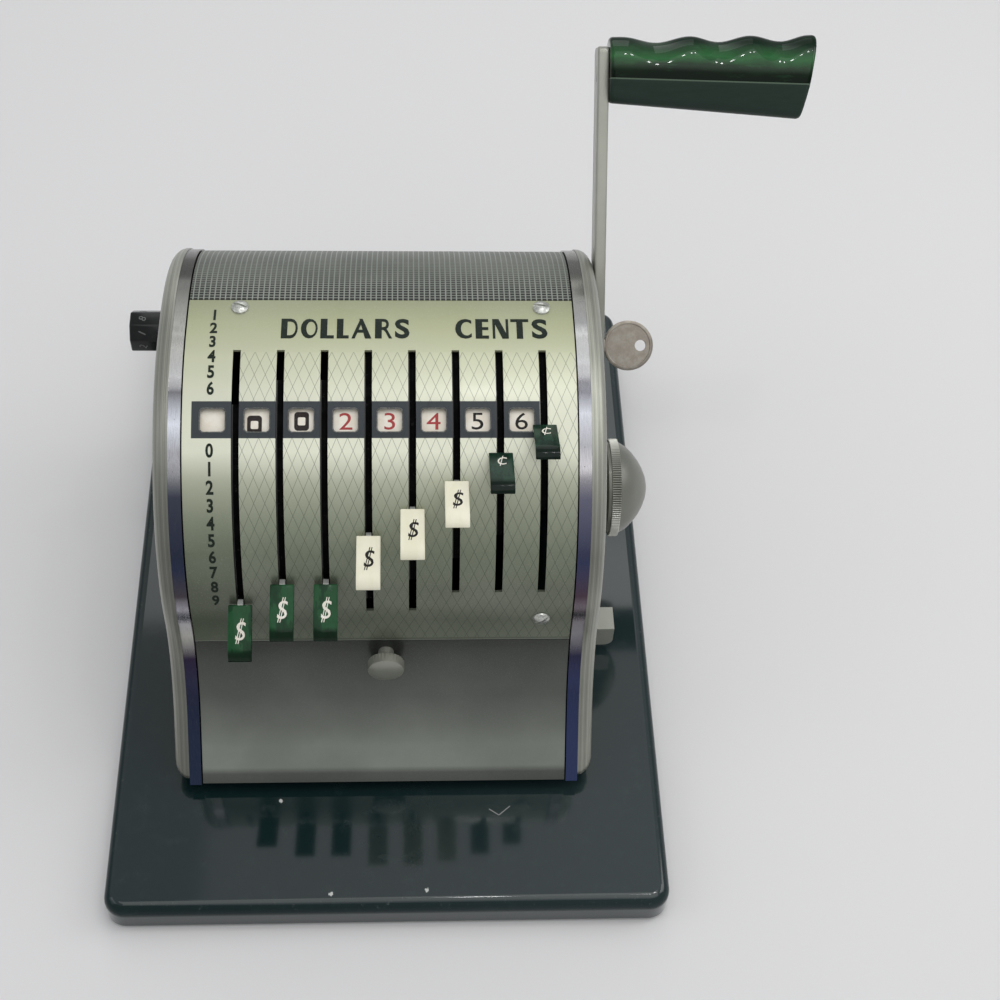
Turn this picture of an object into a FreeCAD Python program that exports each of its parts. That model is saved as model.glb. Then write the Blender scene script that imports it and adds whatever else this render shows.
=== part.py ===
import FreeCAD, Part
import math
import os
import re
import Sketcher
from FreeCAD import Placement, Rotation, Vector

# A desk check writer: a drum-fronted imprinting machine on an enamelled base.
# Frame: +X to the operator's right, +Y away from the operator, +Z up.
# Origin: centre of the underside of the middle foot.  All sizes in millimetres.
# Drum angles start at the front (-Y) of the lever shaft and rise towards the top (+Z).

doc = FreeCAD.newDocument("check_writer")
sheet = doc.addObject("Spreadsheet::Sheet", "sizes")

# ---------------------------------------------------------------- driving dimensions
SIZES = {
    # base pan, its cover and its feet
    "base_width": 217.0,
    "base_length": 314.0,
    "base_shift": 1.8,
    "base_depth": 13.0,
    "base_wall": 3.0,
    "base_skin": 2.0,
    "base_edge_round": 4.5,
    "base_corner_round": 8.0,
    "cover_plate": 1.2,
    "cover_gap": 0.3,
    "foot_radius": 8.0,
    "foot_drop": 2.0,
    "foot_inset": 20.0,
    # side profile of the body
    "axis_y": 3.0,
    "axis_z": 87.0,
    "face_radius": 78.0,
    "top_flat": 8.2,
    "flare_radius": 75.0,
    "flare_angle": 38.0,
    "throat": 6.0,
    "throat_end": 30.0,
    "skin": 1.2,
    "seam_angle": 8.5,
    "seam_gap": 0.3,
    "face_top_angle": 4.3,
    "lip_return": 7.0,
    # widths across the body, measured from its centre plane
    "face_half": 71.1,
    "plate_inner": 70.0,
    "plate_outer": 74.0,
    "trim_gap": 0.5,
    "trim_outer": 76.2,
    "trim_proud": 0.5,
    "cheek_outer": 82.0,
    "cheek_proud": 0.9,
    "cheek_wall": 3.0,
    "cheek_rim": 4.0,
    "cheek_round": 5.0,
    "cheek_toe_round": 2.4,
    # slots, windows and setting levers
    "column_pitch": 15.875,
    "column_shift": 3.3,
    "slot_width": 2.8,
    "slot_top": 82.2,
    "slot_low": 5.2,
    "slot_low_short": 12.3,
    "window_angle": 61.9,
    "window_span": 6.8,
    "window_width": 9.7,
    "window_left": 8.05,
    "window_round": 2.0,
    "shaft_radius": 5.0,
    "running_gap": 0.05,
    "lever_plate": 2.0,
    "blank_angle": 9.2,
    "digit_step": 7.2,
    "hub_radius": 10.0,
    "hub_end_gap": 0.35,
    "band_radius": 75.5,
    "band_skin": 1.0,
    "band_width": 13.2,
    "band_low": 22.5,
    "band_high": 57.5,
    "type_radius": 66.5,
    "type_depth": 6.5,
    "type_start": 95.0,
    "type_end": 175.0,
    "neck_lower": 2.2,
    "neck_upper": 0.9,
    "neck_reach": 79.7,
    "tang_length": 9.0,
    "tang_half": 1.0,
    "cap_angle": 36.7,
    "cap_length": 20.9,
    "cap_width": 8.7,
    "cap_upper": 1.4,
    "cap_root_lower": 2.2,
    "cap_tip_lower": 1.3,
    # detent comb behind the levers
    "comb_radius": 72.0,
    "comb_angle": 165.0,
    "comb_half": 4.0,
    "finger_skin": 0.8,
    "finger_width": 5.0,
    "finger_gap": 0.3,
    # operating handle
    "pivot_y": -9.0,
    "pivot_z": 84.5,
    "pivot_radius": 6.0,
    "handle_lean": 41.0,
    "arm_gap": 0.4,
    "arm_thick": 4.3,
    "arm_half": 7.0,
    "arm_reach": 166.0,
    "arm_hub": 13.0,
    "grip_length": 80.0,
    "grip_low": 151.2,
    "grip_ridge": 9.5,
    "grip_top": 24.6,
    "grip_back_edge": 10.8,
    "grip_front_low": 8.3,
    "grip_front_ridge": 13.5,
    "grip_back": 11.0,
    "grip_back_low": 8.0,
    "grip_round": 12.5,
    "grip_flare": 5.4,
    "grip_groove_radius": 16.0,
    "grip_groove_depth": 2.2,
    "grip_groove_first": 18.5,
    "grip_groove_pitch": 24.1,
    "grip_slant": 10.4,
    "grip_screw_radius": 3.0,
    "grip_screw_head": 4.0,
    "grip_screw_depth": 30.0,
    "grip_screw_rise": 162.0,
    "screw_head_tall": 0.8,
    "crank_thick": 1.5,
    "crank_gap": 0.3,
    "crank_radius": 11.0,
    "crank_reach": 22.0,
    "crank_start": 253.1,
    "crank_pin": 2.0,
    "crank_half": 4.0,
    # domed hub cap on the handle shaft
    "stud_radius": 4.0,
    "stud_length": 9.0,
    "dome_start": 88.2,
    "dome_rim": 90.0,
    "dome_band": 3.4,
    "dome_radius": 19.6,
    "dome_shoulder": 18.4,
    "dome_height": 11.8,
    "dome_neck": 9.0,
    # platen under the throat and its yoke
    "platen_front": 7.0,
    "platen_left": 66.0,
    "platen_right": 59.0,
    "platen_tall": 9.0,
    "platen_below": 0.2,
    "platen_gap": 1.2,
    "carrier_thick": 2.0,
    "yoke_near": 34.0,
    "yoke_far": 42.0,
    "yoke_thick": 1.2,
    "yoke_slack": 3.1,
    "yoke_wall": 3.0,
    "yoke_front_room": 5.0,
    "yoke_back_room": 24.0,
    # ink roll and its swinging carriage
    "ink_orbit": 74.0,
    "ink_angle": 35.0,
    "ink_radius": 7.0,
    "ink_axle": 2.0,
    "ink_arm_half": 5.0,
    "ink_arm_thick": 1.6,
    "ink_left": 69.6,
    "ink_right": 67.8,
    "ink_end_gap": 0.4,
    # prefix knob on the left
    "prefix_y": 42.3,
    "prefix_z": 121.2,
    "prefix_flats": 15.5,
    "prefix_start": 84.0,
    "prefix_end": 100.0,
    "prefix_shaft": 3.0,
    "prefix_turn": 27.5,
    # lock, plug and key on the right
    "lock_y": 45.7,
    "lock_z": 109.2,
    "lock_barrel": 6.0,
    "lock_flange": 8.5,
    "lock_flange_thick": 1.2,
    "plug_radius": 4.4,
    "plug_start": 72.0,
    "key_blade": 2.4,
    "key_thick": 1.8,
    "key_start": 75.0,
    "key_bow_x": 100.0,
    "key_bow": 10.4,
    "key_hole": 2.3,
    "key_hole_out": 5.0,
    "key_turn": 46.0,
    # thumb screw on the lower panel
    "thumb_x": 1.0,
    "thumb_z": 69.4,
    "thumb_face": 85.8,
    "thumb_rim": 2.2,
    "thumb_radius": 7.0,
    "thumb_stem": 2.8,
    "thumb_shank": 2.0,
    "thumb_boss": 5.0,
    "thumb_end": 72.5,
    "thumb_crown": 0.8,
    # tab lever low on the right
    "tab_pivot_y": 2.0,
    "tab_pivot_z": 36.0,
    "tab_pin": 2.0,
    "tab_front": 41.6,
    "tab_back": 30.6,
    "tab_top": 30.7,
    "tab_low": 19.0,
    "tab_end": 95.0,
    "tab_thick": 1.3,
    "tab_gap": 0.4,
    "tab_stem_half": 3.5,
    "tab_corner": 4.0,
    "tab_slot_room": 1.6,
    "tab_slot_drop": 4.0,
    "tab_flange_start": 83.0,
    # fasteners, tie rods and rail
    "rod_radius": 4.0,
    "rod_bore": 2.0,
    "rod_screw_depth": 9.0,
    "boss_radius": 5.5,
    "flush_head": 3.8,
    "flush_depth": 1.6,
    "rear_rod_y": 68.0,
    "rear_rod_z": 124.0,
    "front_rod_y": -78.0,
    "front_rod_z": 33.0,
    "low_rod_y": 75.0,
    "low_rod_z": 35.0,
    "foot_screw_radius": 1.4,
    "foot_screw_head": 3.5,
    "foot_screw_tall": 12.0,
    "foot_screw_near": 50.0,
    "foot_screw_far": 78.0,
    "face_screw_head": 3.3,
    "face_screw_dome": 1.7,
    "face_screw_shank": 1.5,
    "face_screw_left": -52.3,
    "face_screw_right": 59.6,
    "face_screw_top_y": 13.0,
    "face_screw_low_angle": 1.4,
    "face_screw_low_reach": 1.0,
    "face_screw_seat": 0.1,
    "rail_near": 8.0,
    "rail_angle": 8.3,
    "rail_thick": 1.1,
    # return spring of the handle
    "spring_radius": 9.0,
    "spring_wire": 0.6,
    "spring_leg": 15.0,
}

# Rest position of each setting lever, in detent steps above the blank position.
REST_STEPS = (0, 1, 1, 3, 4, 5, 6, 7)
# Angles where one pass of the rolling press ends on the faceplate and the next begins.
FACE_BENDS = range(10, 90, 10)
# Columns whose lever stops at the digit 0 and has no blank position.
SHORT_COLUMNS = (6, 7, 8)

for row, (alias, size) in enumerate(SIZES.items(), start=1):
    sheet.set(f"A{row}", alias)
    sheet.set(f"B{row}", str(size))
    sheet.setAlias(f"B{row}", alias)
doc.recompute()

KNOWN_NAMES = re.compile(r"\b(" + "|".join(sorted(SIZES, key=len, reverse=True)) + r")\b")
TO_X = Rotation(Vector(0, 1, 0), 90)
TO_Y = Rotation(Vector(0, 0, 1), 90)
TO_Z = Rotation(Vector(0, 1, 0), -90)

# Levels and places that several pieces share.
BASE_TOP = "(foot_drop + base_depth)"
LIP_Z = f"({BASE_TOP} + throat)"
FLARE_Y = "(axis_y - face_radius - flare_radius)"
REAR_AXIS_Y = "(axis_y + top_flat)"
TRIM_INNER = "(face_half + trim_gap)"
ARM_INNER = "(cheek_outer + arm_gap)"
ARM_OUTER = f"({ARM_INNER} + arm_thick)"
CRANK_OUTER = "(cheek_outer - cheek_wall - crank_gap)"
CAVITY_OUTER = "(cheek_outer - cheek_wall)"

pieces = []


# ---------------------------------------------------------------- builders
def bind(item, prop, expression):
    """Tie a property to the sheet through an expression of its named sizes."""
    item.setExpression(prop, KNOWN_NAMES.sub(r"sizes.\1", str(expression)))


def number(expression):
    """The present value of an expression of named sizes."""
    return float(sheet.evalExpression(str(expression)))


def move(item, x, y, z, rotation=None):
    """Place an object at bound coordinates, with a fixed turn."""
    item.Placement = Placement(Vector(0, 0, 0), rotation or Rotation())
    bind(item, "Placement.Base.x", x)
    bind(item, "Placement.Base.y", y)
    bind(item, "Placement.Base.z", z)
    return item


def lean(item, angle):
    """Turn an object about the X axis by a bound angle, front side upwards."""
    item.Placement = Placement(item.Placement.Base, Rotation(Vector(-1, 0, 0), 1))
    bind(item, "Placement.Rotation.Angle", angle)
    return item


def polar(radius, angle):
    """Sketch point on the drum at a radius and an angle from the front."""
    return f"-({radius}) * cos({angle})", f"({radius}) * sin({angle})"


def shifted(point, y, z):
    return f"{y} + {point[0]}", f"{z} + {point[1]}"


def origin_plane(body, role):
    return next(plane for plane in body.Origin.OriginFeatures if plane.Role == role)


def new_sketch(body, role, offset="0"):
    sketch = body.newObject("Sketcher::SketchObject", body.Label + "_sketch")
    sketch.AttachmentSupport = [(origin_plane(body, role), "")]
    sketch.MapMode = "FlatFace"
    bind(sketch, "AttachmentOffset.Base.z", offset)
    return sketch


def arc_between(start, end, radius, turn):
    """Arc of under half a circle; turn is +1 when it runs anticlockwise."""
    chord = end - start
    half = chord.Length / 2
    rise = math.sqrt(max(radius ** 2 - half ** 2, 0.0))
    side = Vector(-chord.y, chord.x, 0).normalize() * (turn * rise)
    centre = (start + end) * 0.5 + side
    first, last = (start, end) if turn > 0 else (end, start)
    angles = [math.atan2(p.y - centre.y, p.x - centre.x) for p in (first, last)]
    if angles[1] < angles[0]:
        angles[1] += 2 * math.pi
    return Part.ArcOfCircle(Part.Circle(centre, Vector(0, 0, 1), radius), *angles)


def fix_point(sketch, geometry, point, u, v):
    """Hold a sketch point at bound distances from the sketch's origin."""
    for kind, expression in (("DistanceX", u), ("DistanceY", v)):
        value = number(expression)
        index = sketch.addConstraint(Sketcher.Constraint(kind, -1, 1, geometry, point, value))
        bind(sketch, f"Constraints[{index}]", expression)


def draw(sketch, outline):
    """Draw a closed outline of (u, v) corners; (u, v, radius, turn) starts an arc."""
    corners = [Vector(number(c[0]), number(c[1]), 0) for c in outline]
    first = sketch.GeometryCount
    count = len(outline)
    heads = []
    tails = []
    for place, corner in enumerate(outline):
        start, end = corners[place], corners[(place + 1) % count]
        if len(corner) == 2:
            sketch.addGeometry(Part.LineSegment(start, end), False)
            heads.append(1)
            tails.append(2)
            continue
        arc = sketch.addGeometry(arc_between(start, end, number(corner[2]), corner[3]), False)
        heads.append(1 if corner[3] > 0 else 2)
        tails.append(2 if corner[3] > 0 else 1)
        index = sketch.addConstraint(Sketcher.Constraint("Radius", arc, number(corner[2])))
        bind(sketch, f"Constraints[{index}]", corner[2])
    for place, corner in enumerate(outline):
        after = (place + 1) % count
        sketch.addConstraint(
            Sketcher.Constraint("Coincident", first + place, tails[place], first + after, heads[after])
        )
        fix_point(sketch, first + place, heads[place], corner[0], corner[1])


def draw_circle(sketch, u, v, radius):
    centre = Vector(number(u), number(v), 0)
    circle = sketch.addGeometry(Part.Circle(centre, Vector(0, 0, 1), number(radius)), False)
    fix_point(sketch, circle, 3, u, v)
    index = sketch.addConstraint(Sketcher.Constraint("Radius", circle, number(radius)))
    bind(sketch, f"Constraints[{index}]", radius)


def plate(label, outline, low, high, holes=()):
    """Body with a side outline in Y and Z, padded along X from low to high."""
    body = doc.addObject("PartDesign::Body", label)
    sketch = new_sketch(body, "YZ_Plane")
    draw(sketch, outline)
    for hole in holes:
        draw_circle(sketch, *hole)
    pad = body.newObject("PartDesign::Pad", label + "_pad")
    pad.Profile = sketch
    bind(pad, "Length", f"({high}) - ({low})")
    bind(body, "Placement.Base.x", low)
    return body


def turned(label, outline, x, y, z, rotation=None):
    """Body turned about its own X axis from an outline of (length, radius) corners."""
    body = doc.addObject("PartDesign::Body", label)
    sketch = new_sketch(body, "XZ_Plane")
    draw(sketch, outline)
    spin = body.newObject("PartDesign::Revolution", label + "_turn")
    spin.Profile = sketch
    spin.ReferenceAxis = (sketch, ["H_Axis"])
    spin.Angle = 360
    return move(body, x, y, z, rotation)


def box(label, low, high):
    item = doc.addObject("Part::Box", label)
    for side, start, end in zip(("Length", "Width", "Height"), low, high):
        bind(item, side, f"({end}) - ({start})")
    return move(item, *low)


def rod(label, radius, low, high, y, z):
    """Cylinder along X from low to high."""
    item = doc.addObject("Part::Cylinder", label)
    bind(item, "Radius", radius)
    bind(item, "Height", f"({high}) - ({low})")
    return move(item, low, y, z, TO_X)


def post(label, radius, x, y, low, high):
    """Cylinder along Z from low to high."""
    item = doc.addObject("Part::Cylinder", label)
    bind(item, "Radius", radius)
    bind(item, "Height", f"({high}) - ({low})")
    return move(item, x, y, low)


def fuse(label, parts):
    item = doc.addObject("Part::MultiFuse", label)
    item.Shapes = parts
    return item


def cut(label, base, tools):
    item = doc.addObject("Part::Cut", label)
    item.Base = base
    item.Tool = tools[0] if len(tools) == 1 else fuse(label + "_tools", tools)
    return item


def group(label, parts):
    """Identical fasteners kept as separate solids of one node."""
    item = doc.addObject("Part::Compound", label)
    item.Links = parts
    return item


def round_edges(body, feature, radius, wanted):
    """Fillet the edges of a body's feature that a test picks out."""
    doc.recompute()
    names = [f"Edge{i}" for i, edge in enumerate(feature.Shape.Edges, start=1) if wanted(edge.BoundBox)]
    fillet = body.newObject("PartDesign::Fillet", body.Label + "_round")
    fillet.Base = (feature, names)
    bind(fillet, "Radius", radius)
    return fillet


def keep(item, label):
    """Name a finished piece and list it for export."""
    item.Label = label
    pieces.append(item)
    return item


def span(side, inner, outer):
    """Low and high X of something that lies between two distances from the centre."""
    return (inner, outer) if side == "right" else (f"-({outer})", f"-({inner})")


# ---------------------------------------------------------------- shared side profile
def front_path(offset, start):
    """Corners along the flared lower front, from the lip or the seam up to the drum."""
    flare = f"(flare_radius - ({offset}))"
    end_y = f"({FLARE_Y} + {flare} * cos(flare_angle))"
    end_z = f"(axis_z - {flare} * sin(flare_angle))"
    if start == "lip":
        lip_y = f"({end_y} - ({end_z} - {LIP_Z}) * tan(flare_angle))"
        return [(lip_y, LIP_Z), (end_y, end_z, flare, 1)]
    return [(f"{FLARE_Y} + {flare} * cos({start})", f"axis_z - {flare} * sin({start})", flare, 1)]


def drum_path(offset):
    """Corners over the drum, from its front to the end of the flat top."""
    drum = f"(face_radius + ({offset}))"
    return [
        (f"axis_y - {drum}", "axis_z", drum, -1),
        ("axis_y", f"axis_z + {drum}"),
        (REAR_AXIS_Y, f"axis_z + {drum}", drum, -1),
    ]


def rear_path(offset):
    """Corners down the back, from the end of the rear arc to the base."""
    drum = f"(face_radius + ({offset}))"
    return [(f"{REAR_AXIS_Y} + {drum}", "axis_z"), (f"{REAR_AXIS_Y} + {drum}", BASE_TOP)]


def rear_point(offset, angle):
    """Point of the rear arc at an angle behind the end of the flat top."""
    drum = f"(face_radius + ({offset}))"
    return f"{REAR_AXIS_Y} + {drum} * sin({angle})", f"axis_z + {drum} * cos({angle})"


def side_profile(offset):
    """Closed outline of the body seen from the side, standing on the base at its back."""
    corners = front_path(offset, "lip") + drum_path(offset) + rear_path(offset)
    return corners + [("throat_end", BASE_TOP), ("throat_end", LIP_Z)]


def shell_outline(outer, inner):
    """Closed outline of a bent sheet between an outer and an inner run of corners."""
    back = []
    for place in range(len(inner) - 1, -1, -1):
        corner = inner[place][:2]
        before = inner[place - 1] if place else ()
        back.append(corner + (before[2], -before[3]) if len(before) == 4 else corner)
    return list(outer[:-1]) + [outer[-1][:2]] + back


# ---------------------------------------------------------------- base
def make_base():
    low_x = "base_shift - base_width / 2"
    high_x = "base_shift + base_width / 2"
    low_y = "-base_length / 2"
    high_y = "base_length / 2"
    body = doc.addObject("PartDesign::Body", "pan_block")
    outline = new_sketch(body, "XY_Plane", "foot_drop")
    draw(outline, [(low_x, low_y), (high_x, low_y), (high_x, high_y), (low_x, high_y)])
    pad = body.newObject("PartDesign::Pad", "pan_pad")
    pad.Profile = outline
    bind(pad, "Length", "base_depth")
    deep = number("base_depth") / 2
    corners = round_edges(body, pad, "base_corner_round", lambda b: b.ZLength > deep)
    top = number(BASE_TOP)
    round_edges(body, corners, "base_edge_round", lambda b: b.ZMin > top - 0.01)
    hollow = box(
        "pan_hollow",
        (f"{low_x} + base_wall", f"{low_y} + base_wall", "0"),
        (f"{high_x} - base_wall", f"{high_y} - base_wall", f"{BASE_TOP} - base_skin"),
    )
    platen_hole = box(
        "pan_platen_hole",
        ("-platen_left - platen_gap", "axis_y - platen_front - platen_gap", "foot_drop"),
        ("platen_right + platen_gap", "axis_y + platen_front + platen_gap", f"{BASE_TOP} + 1"),
    )
    yoke_hole = box(
        "pan_yoke_hole",
        ("plate_outer + crank_gap", "yoke_near - platen_gap", "foot_drop"),
        (CAVITY_OUTER, "yoke_far + platen_gap", f"{BASE_TOP} + 1"),
    )
    holes = [
        post(f"pan_screw_hole_{i}", "foot_screw_radius", x, y, "foot_drop", f"{BASE_TOP} + 1")
        for i, (x, y) in enumerate(screw_places())
    ]
    keep(cut("base_pan_cut", body, [hollow, platen_hole, yoke_hole] + holes), "base_pan")

    inset = "base_wall + cover_gap"
    cover = box(
        "bottom_cover_box",
        (f"{low_x} + {inset}", f"{low_y} + {inset}", "foot_drop"),
        (f"{high_x} - ({inset})", f"{high_y} - ({inset})", "foot_drop + cover_plate"),
    )
    keep(cover, "bottom_cover")
    feet = []
    for i, (across, along) in enumerate(((-1, -1), (1, -1), (1, 1), (-1, 1))):
        x = f"base_shift + {across} * (base_width / 2 - foot_inset)"
        y = f"{along} * (base_length / 2 - foot_inset)"
        feet.append(post(f"foot_{i}", "foot_radius", x, y, "0", "foot_drop"))
    feet.append(post("foot_middle", "foot_radius", "0", "0", "0", "foot_drop"))
    keep(group("feet_group", feet), "rubber_feet")


def screw_places():
    """The four screws that hold the side plates down on the pan."""
    middle = "(plate_inner + plate_outer) / 2"
    return [(f"{s}({middle})", y) for s in ("-", "") for y in ("foot_screw_near", "foot_screw_far")]


def make_base_screws():
    screws = []
    for i, (x, y) in enumerate(screw_places()):
        under = f"{BASE_TOP} - base_skin"
        shank_length = "base_skin + foot_screw_tall"
        outline = [
            ("-foot_screw_head / 2", "0"),
            ("-foot_screw_head / 2", "foot_screw_head"),
            ("0", "foot_screw_head"),
            ("0", "foot_screw_radius"),
            (shank_length, "foot_screw_radius"),
            (shank_length, "0"),
        ]
        screws.append(turned(f"base_screw_{i}", outline, x, y, under, TO_Z))
    keep(group("base_screw_group", screws), "base_screws")


# ---------------------------------------------------------------- body shell
def rod_places():
    return [("rear_rod_y", "rear_rod_z"), ("front_rod_y", "front_rod_z"), ("low_rod_y", "low_rod_z")]


def make_side_plate(side):
    low, high = span(side, "plate_inner", "plate_outer")
    holes = [("axis_y", "axis_z", "shaft_radius")]
    holes += [(y, z, "rod_bore") for y, z in rod_places()]
    if side == "right":
        holes.append(("pivot_y", "pivot_z", "pivot_radius + running_gap"))
        holes.append(("lock_y", "lock_z", "lock_barrel"))
    else:
        holes.append(("prefix_y", "prefix_z", "prefix_shaft + running_gap"))
    frame_plate = plate(f"side_plate_{side}_blank", side_profile("-skin"), low, high, holes)
    bores = []
    for i, (x, y) in enumerate(screw_places()):
        if x.startswith("-") == (side == "left"):
            top = f"{BASE_TOP} + foot_screw_tall"
            bores.append(post(f"side_plate_{side}_bore_{i}", "foot_screw_radius", x, y, "0", top))
    drilled = cut(f"side_plate_{side}_cut", frame_plate, bores)
    if side == "left":
        keep(drilled, "side_plate_left")
        return
    pin_end = "plate_outer + tab_gap + tab_thick"
    pin = rod("tab_pin_rod", "tab_pin", "plate_outer", pin_end, "tab_pivot_y", "tab_pivot_z")
    keep(fuse("side_plate_right_pinned", [drilled, pin]), "side_plate_right")


def make_trim(side):
    low, high = span(side, TRIM_INNER, "trim_outer")
    runs = [front_path(o, "lip") + drum_path(o) + rear_path(o) for o in ("trim_proud", "-skin")]
    keep(plate(f"trim_{side}_strip", shell_outline(*runs), low, high), f"trim_{side}")


def make_cheek(side):
    """Cast cheek: a rimmed outer wall over a shallow cavity, standing on the base."""
    low, high = span(side, "trim_outer", "cheek_outer")
    wall = plate(f"cheek_{side}_wall", side_profile("cheek_proud"), low, high)
    face_x = number(high if side == "right" else low)
    toe = number(LIP_Z)
    toe_y = number(front_path("cheek_proud", "lip")[0][0])
    toed = round_edges(
        wall, wall.Tip, "cheek_toe_round", lambda b: abs(b.YMax - toe_y) < 0.01 and abs(b.ZMax - toe) < 0.01
    )
    floor = toe + 1
    doc.recompute()
    round_edges(
        wall,
        toed,
        "cheek_round",
        lambda b: b.XLength < 0.01 and abs(b.XMin - face_x + number(low)) < 0.01 and b.ZMax > floor
        if side == "right"
        else b.XLength < 0.01 and abs(b.XMin) < 0.01 and b.ZMax > floor,
    )
    ledge = plate(f"cheek_{side}_ledge", side_profile("-skin"), *span(side, "plate_outer", "trim_outer"))
    cavity = plate(
        f"cheek_{side}_cavity", side_profile("-cheek_rim"), *span(side, "plate_outer", CAVITY_OUTER)
    )
    hollow = cut(f"cheek_{side}_hollow", fuse(f"cheek_{side}_solid", [wall, ledge]), [cavity])
    bosses = [
        rod(f"cheek_{side}_boss_{i}", "boss_radius", *span(side, "plate_outer", CAVITY_OUTER), y, z)
        for i, (y, z) in enumerate(rod_places())
    ]
    tools = []
    for i, (y, z) in enumerate(rod_places()):
        through = span(side, "plate_outer", "cheek_outer")
        sink = span(side, "cheek_outer - flush_depth", "cheek_outer")
        tools.append(rod(f"cheek_{side}_bore_{i}", "rod_bore", *through, y, z))
        tools.append(rod(f"cheek_{side}_sink_{i}", "flush_head", *sink, y, z))
    if side == "right":
        wall_span = (CAVITY_OUTER, "cheek_outer")
        tools.append(rod("cheek_pivot_bore", "pivot_radius + running_gap", *wall_span, "pivot_y", "pivot_z"))
        tools.append(rod("cheek_lock_bore", "lock_barrel", *wall_span, "lock_y", "lock_z"))
        tools.append(
            box(
                "cheek_tab_slot",
                (CAVITY_OUTER, "-tab_front - tab_slot_room", "tab_top - tab_thick - tab_slot_drop"),
                ("cheek_outer", "-tab_back + tab_slot_room", "tab_top + tab_slot_room"),
            )
        )
    else:
        wall_span = ("-cheek_outer", f"-{CAVITY_OUTER}")
        prefix_bore = "prefix_shaft + running_gap"
        tools.append(rod("cheek_prefix_bore", prefix_bore, *wall_span, "prefix_y", "prefix_z"))
    keep(cut(f"cheek_{side}_cut", fuse(f"cheek_{side}_bossed", [hollow] + bosses), tools), f"cheek_{side}")


def column_x(column):
    return f"(column_shift + ({column} - 4.5) * column_pitch)"


def drum_wedge(label, low_angle, high_angle, low, high):
    """Wedge through the faceplate between two drum angles."""
    outline = ring_outline("(face_radius + skin)", "(face_radius / 2)", low_angle, high_angle)
    return move(plate(label, outline, low, high), low, "axis_y", "axis_z")


def window_wedge(column):
    """Window opening with rounded corners, square to the drum face."""
    body = doc.addObject("PartDesign::Body", f"window_{column}")
    sketch = new_sketch(body, "XY_Plane")
    half_x = "(window_width / 2)"
    half_v = "(face_radius * sin(window_span / 2))"
    r = "window_round"
    outline = [
        (f"-{half_x} + {r}", f"-{half_v}"),
        (f"{half_x} - {r}", f"-{half_v}", r, 1),
        (half_x, f"-{half_v} + {r}"),
        (half_x, f"{half_v} - {r}", r, 1),
        (f"{half_x} - {r}", half_v),
        (f"-{half_x} + {r}", half_v, r, 1),
        (f"-{half_x}", f"{half_v} - {r}"),
        (f"-{half_x}", f"-{half_v} + {r}", r, 1),
    ]
    draw(sketch, outline)
    pad = body.newObject("PartDesign::Pad", f"window_{column}_pad")
    pad.Profile = sketch
    bind(pad, "Length", "face_radius + skin")
    move(body, f"{column_x(column)} - window_left", "axis_y", "axis_z")
    body.Placement = Placement(body.Placement.Base, Rotation(Vector(1, 0, 0), 1))
    bind(body, "Placement.Rotation.Angle", "90 - window_angle")
    return body


def face_screw_places():
    """Two screws on the flat top and two low on the drum front, with their outward turns."""
    low_y, low_z = shifted(polar("face_radius + face_screw_seat", "face_screw_low_angle"), "axis_y", "axis_z")
    top_z = "axis_z + face_radius"
    return [
        ("face_screw_left", "face_screw_top_y", top_z, TO_Z, "skin + rail_thick"),
        ("face_screw_right", "face_screw_top_y", top_z, TO_Z, "skin + rail_thick"),
        ("face_screw_left", low_y, low_z, TO_Y.inverted(), "skin + face_screw_low_reach"),
        ("face_screw_right", low_y, low_z, TO_Y.inverted(), "skin + face_screw_low_reach"),
    ]


def make_faceplate():
    runs = []
    for offset in ("0", "-skin"):
        drum = f"(face_radius + ({offset}))"
        front, *top = drum_path(offset)
        bends = [shifted(polar(drum, angle), "axis_y", "axis_z") + (drum, -1) for angle in FACE_BENDS]
        end = rear_point(offset, "face_top_angle")
        runs.append(front_path(offset, "seam_angle") + [front] + bends + top + [end])
    sheet_metal = plate("faceplate_sheet", shell_outline(*runs), "-face_half", "face_half")
    sheet_metal.Tip.Refine = False
    tools = []
    for column in range(1, 9):
        low_angle = "slot_low_short" if column in SHORT_COLUMNS else "slot_low"
        x = column_x(column)
        near, far = f"{x} - slot_width / 2", f"{x} + slot_width / 2"
        tools.append(drum_wedge(f"slot_{column}", low_angle, "slot_top", near, far))
        tools.append(window_wedge(column))
    for i, (x, y, z, turn, _) in enumerate(face_screw_places()):
        hole = [("-10", "0"), ("-10", "face_screw_shank"), ("5", "face_screw_shank"), ("5", "0")]
        tools.append(turned(f"face_screw_hole_{i}", hole, x, y, z, turn))
    keep(cut("faceplate_cut", sheet_metal, tools), "faceplate")


def make_face_screws():
    screws = []
    for i, (x, y, z, turn, depth) in enumerate(face_screw_places()):
        head = "face_screw_head"
        dome = "face_screw_dome"
        arc_radius = f"(({head} ^ 2 + {dome} ^ 2) / (2 * {dome}))"
        outline = [
            (f"-({depth})", "0"),
            (f"-({depth})", "face_screw_shank"),
            ("0", "face_screw_shank"),
            ("0", head, arc_radius, -1),
            (dome, "0"),
        ]
        screws.append(turned(f"face_screw_{i}", outline, x, y, z, turn))
    keep(group("face_screw_group", screws), "face_screws")


def make_face_rail():
    """Strip under the joint of the faceplate and the top cover, for the two upper screws."""
    runs = []
    for offset in ("-skin", "-skin - rail_thick"):
        drum = f"(face_radius + ({offset}))"
        flat_z = f"axis_z + {drum}"
        end = rear_point(offset, "rail_angle")
        runs.append([("rail_near", flat_z), (REAR_AXIS_Y, flat_z, drum, -1), end])
    strip = plate("face_rail_strip", shell_outline(*runs), "-plate_inner", "plate_inner")
    top = "axis_z + face_radius - skin"
    holes = [
        post(f"face_rail_hole_{i}", "face_screw_shank", x, y, f"{top} - rail_thick - skin", top)
        for i, (x, y, _, _, _) in enumerate(face_screw_places()[:2])
    ]
    keep(cut("face_rail_cut", strip, holes), "face_rail")


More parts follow.
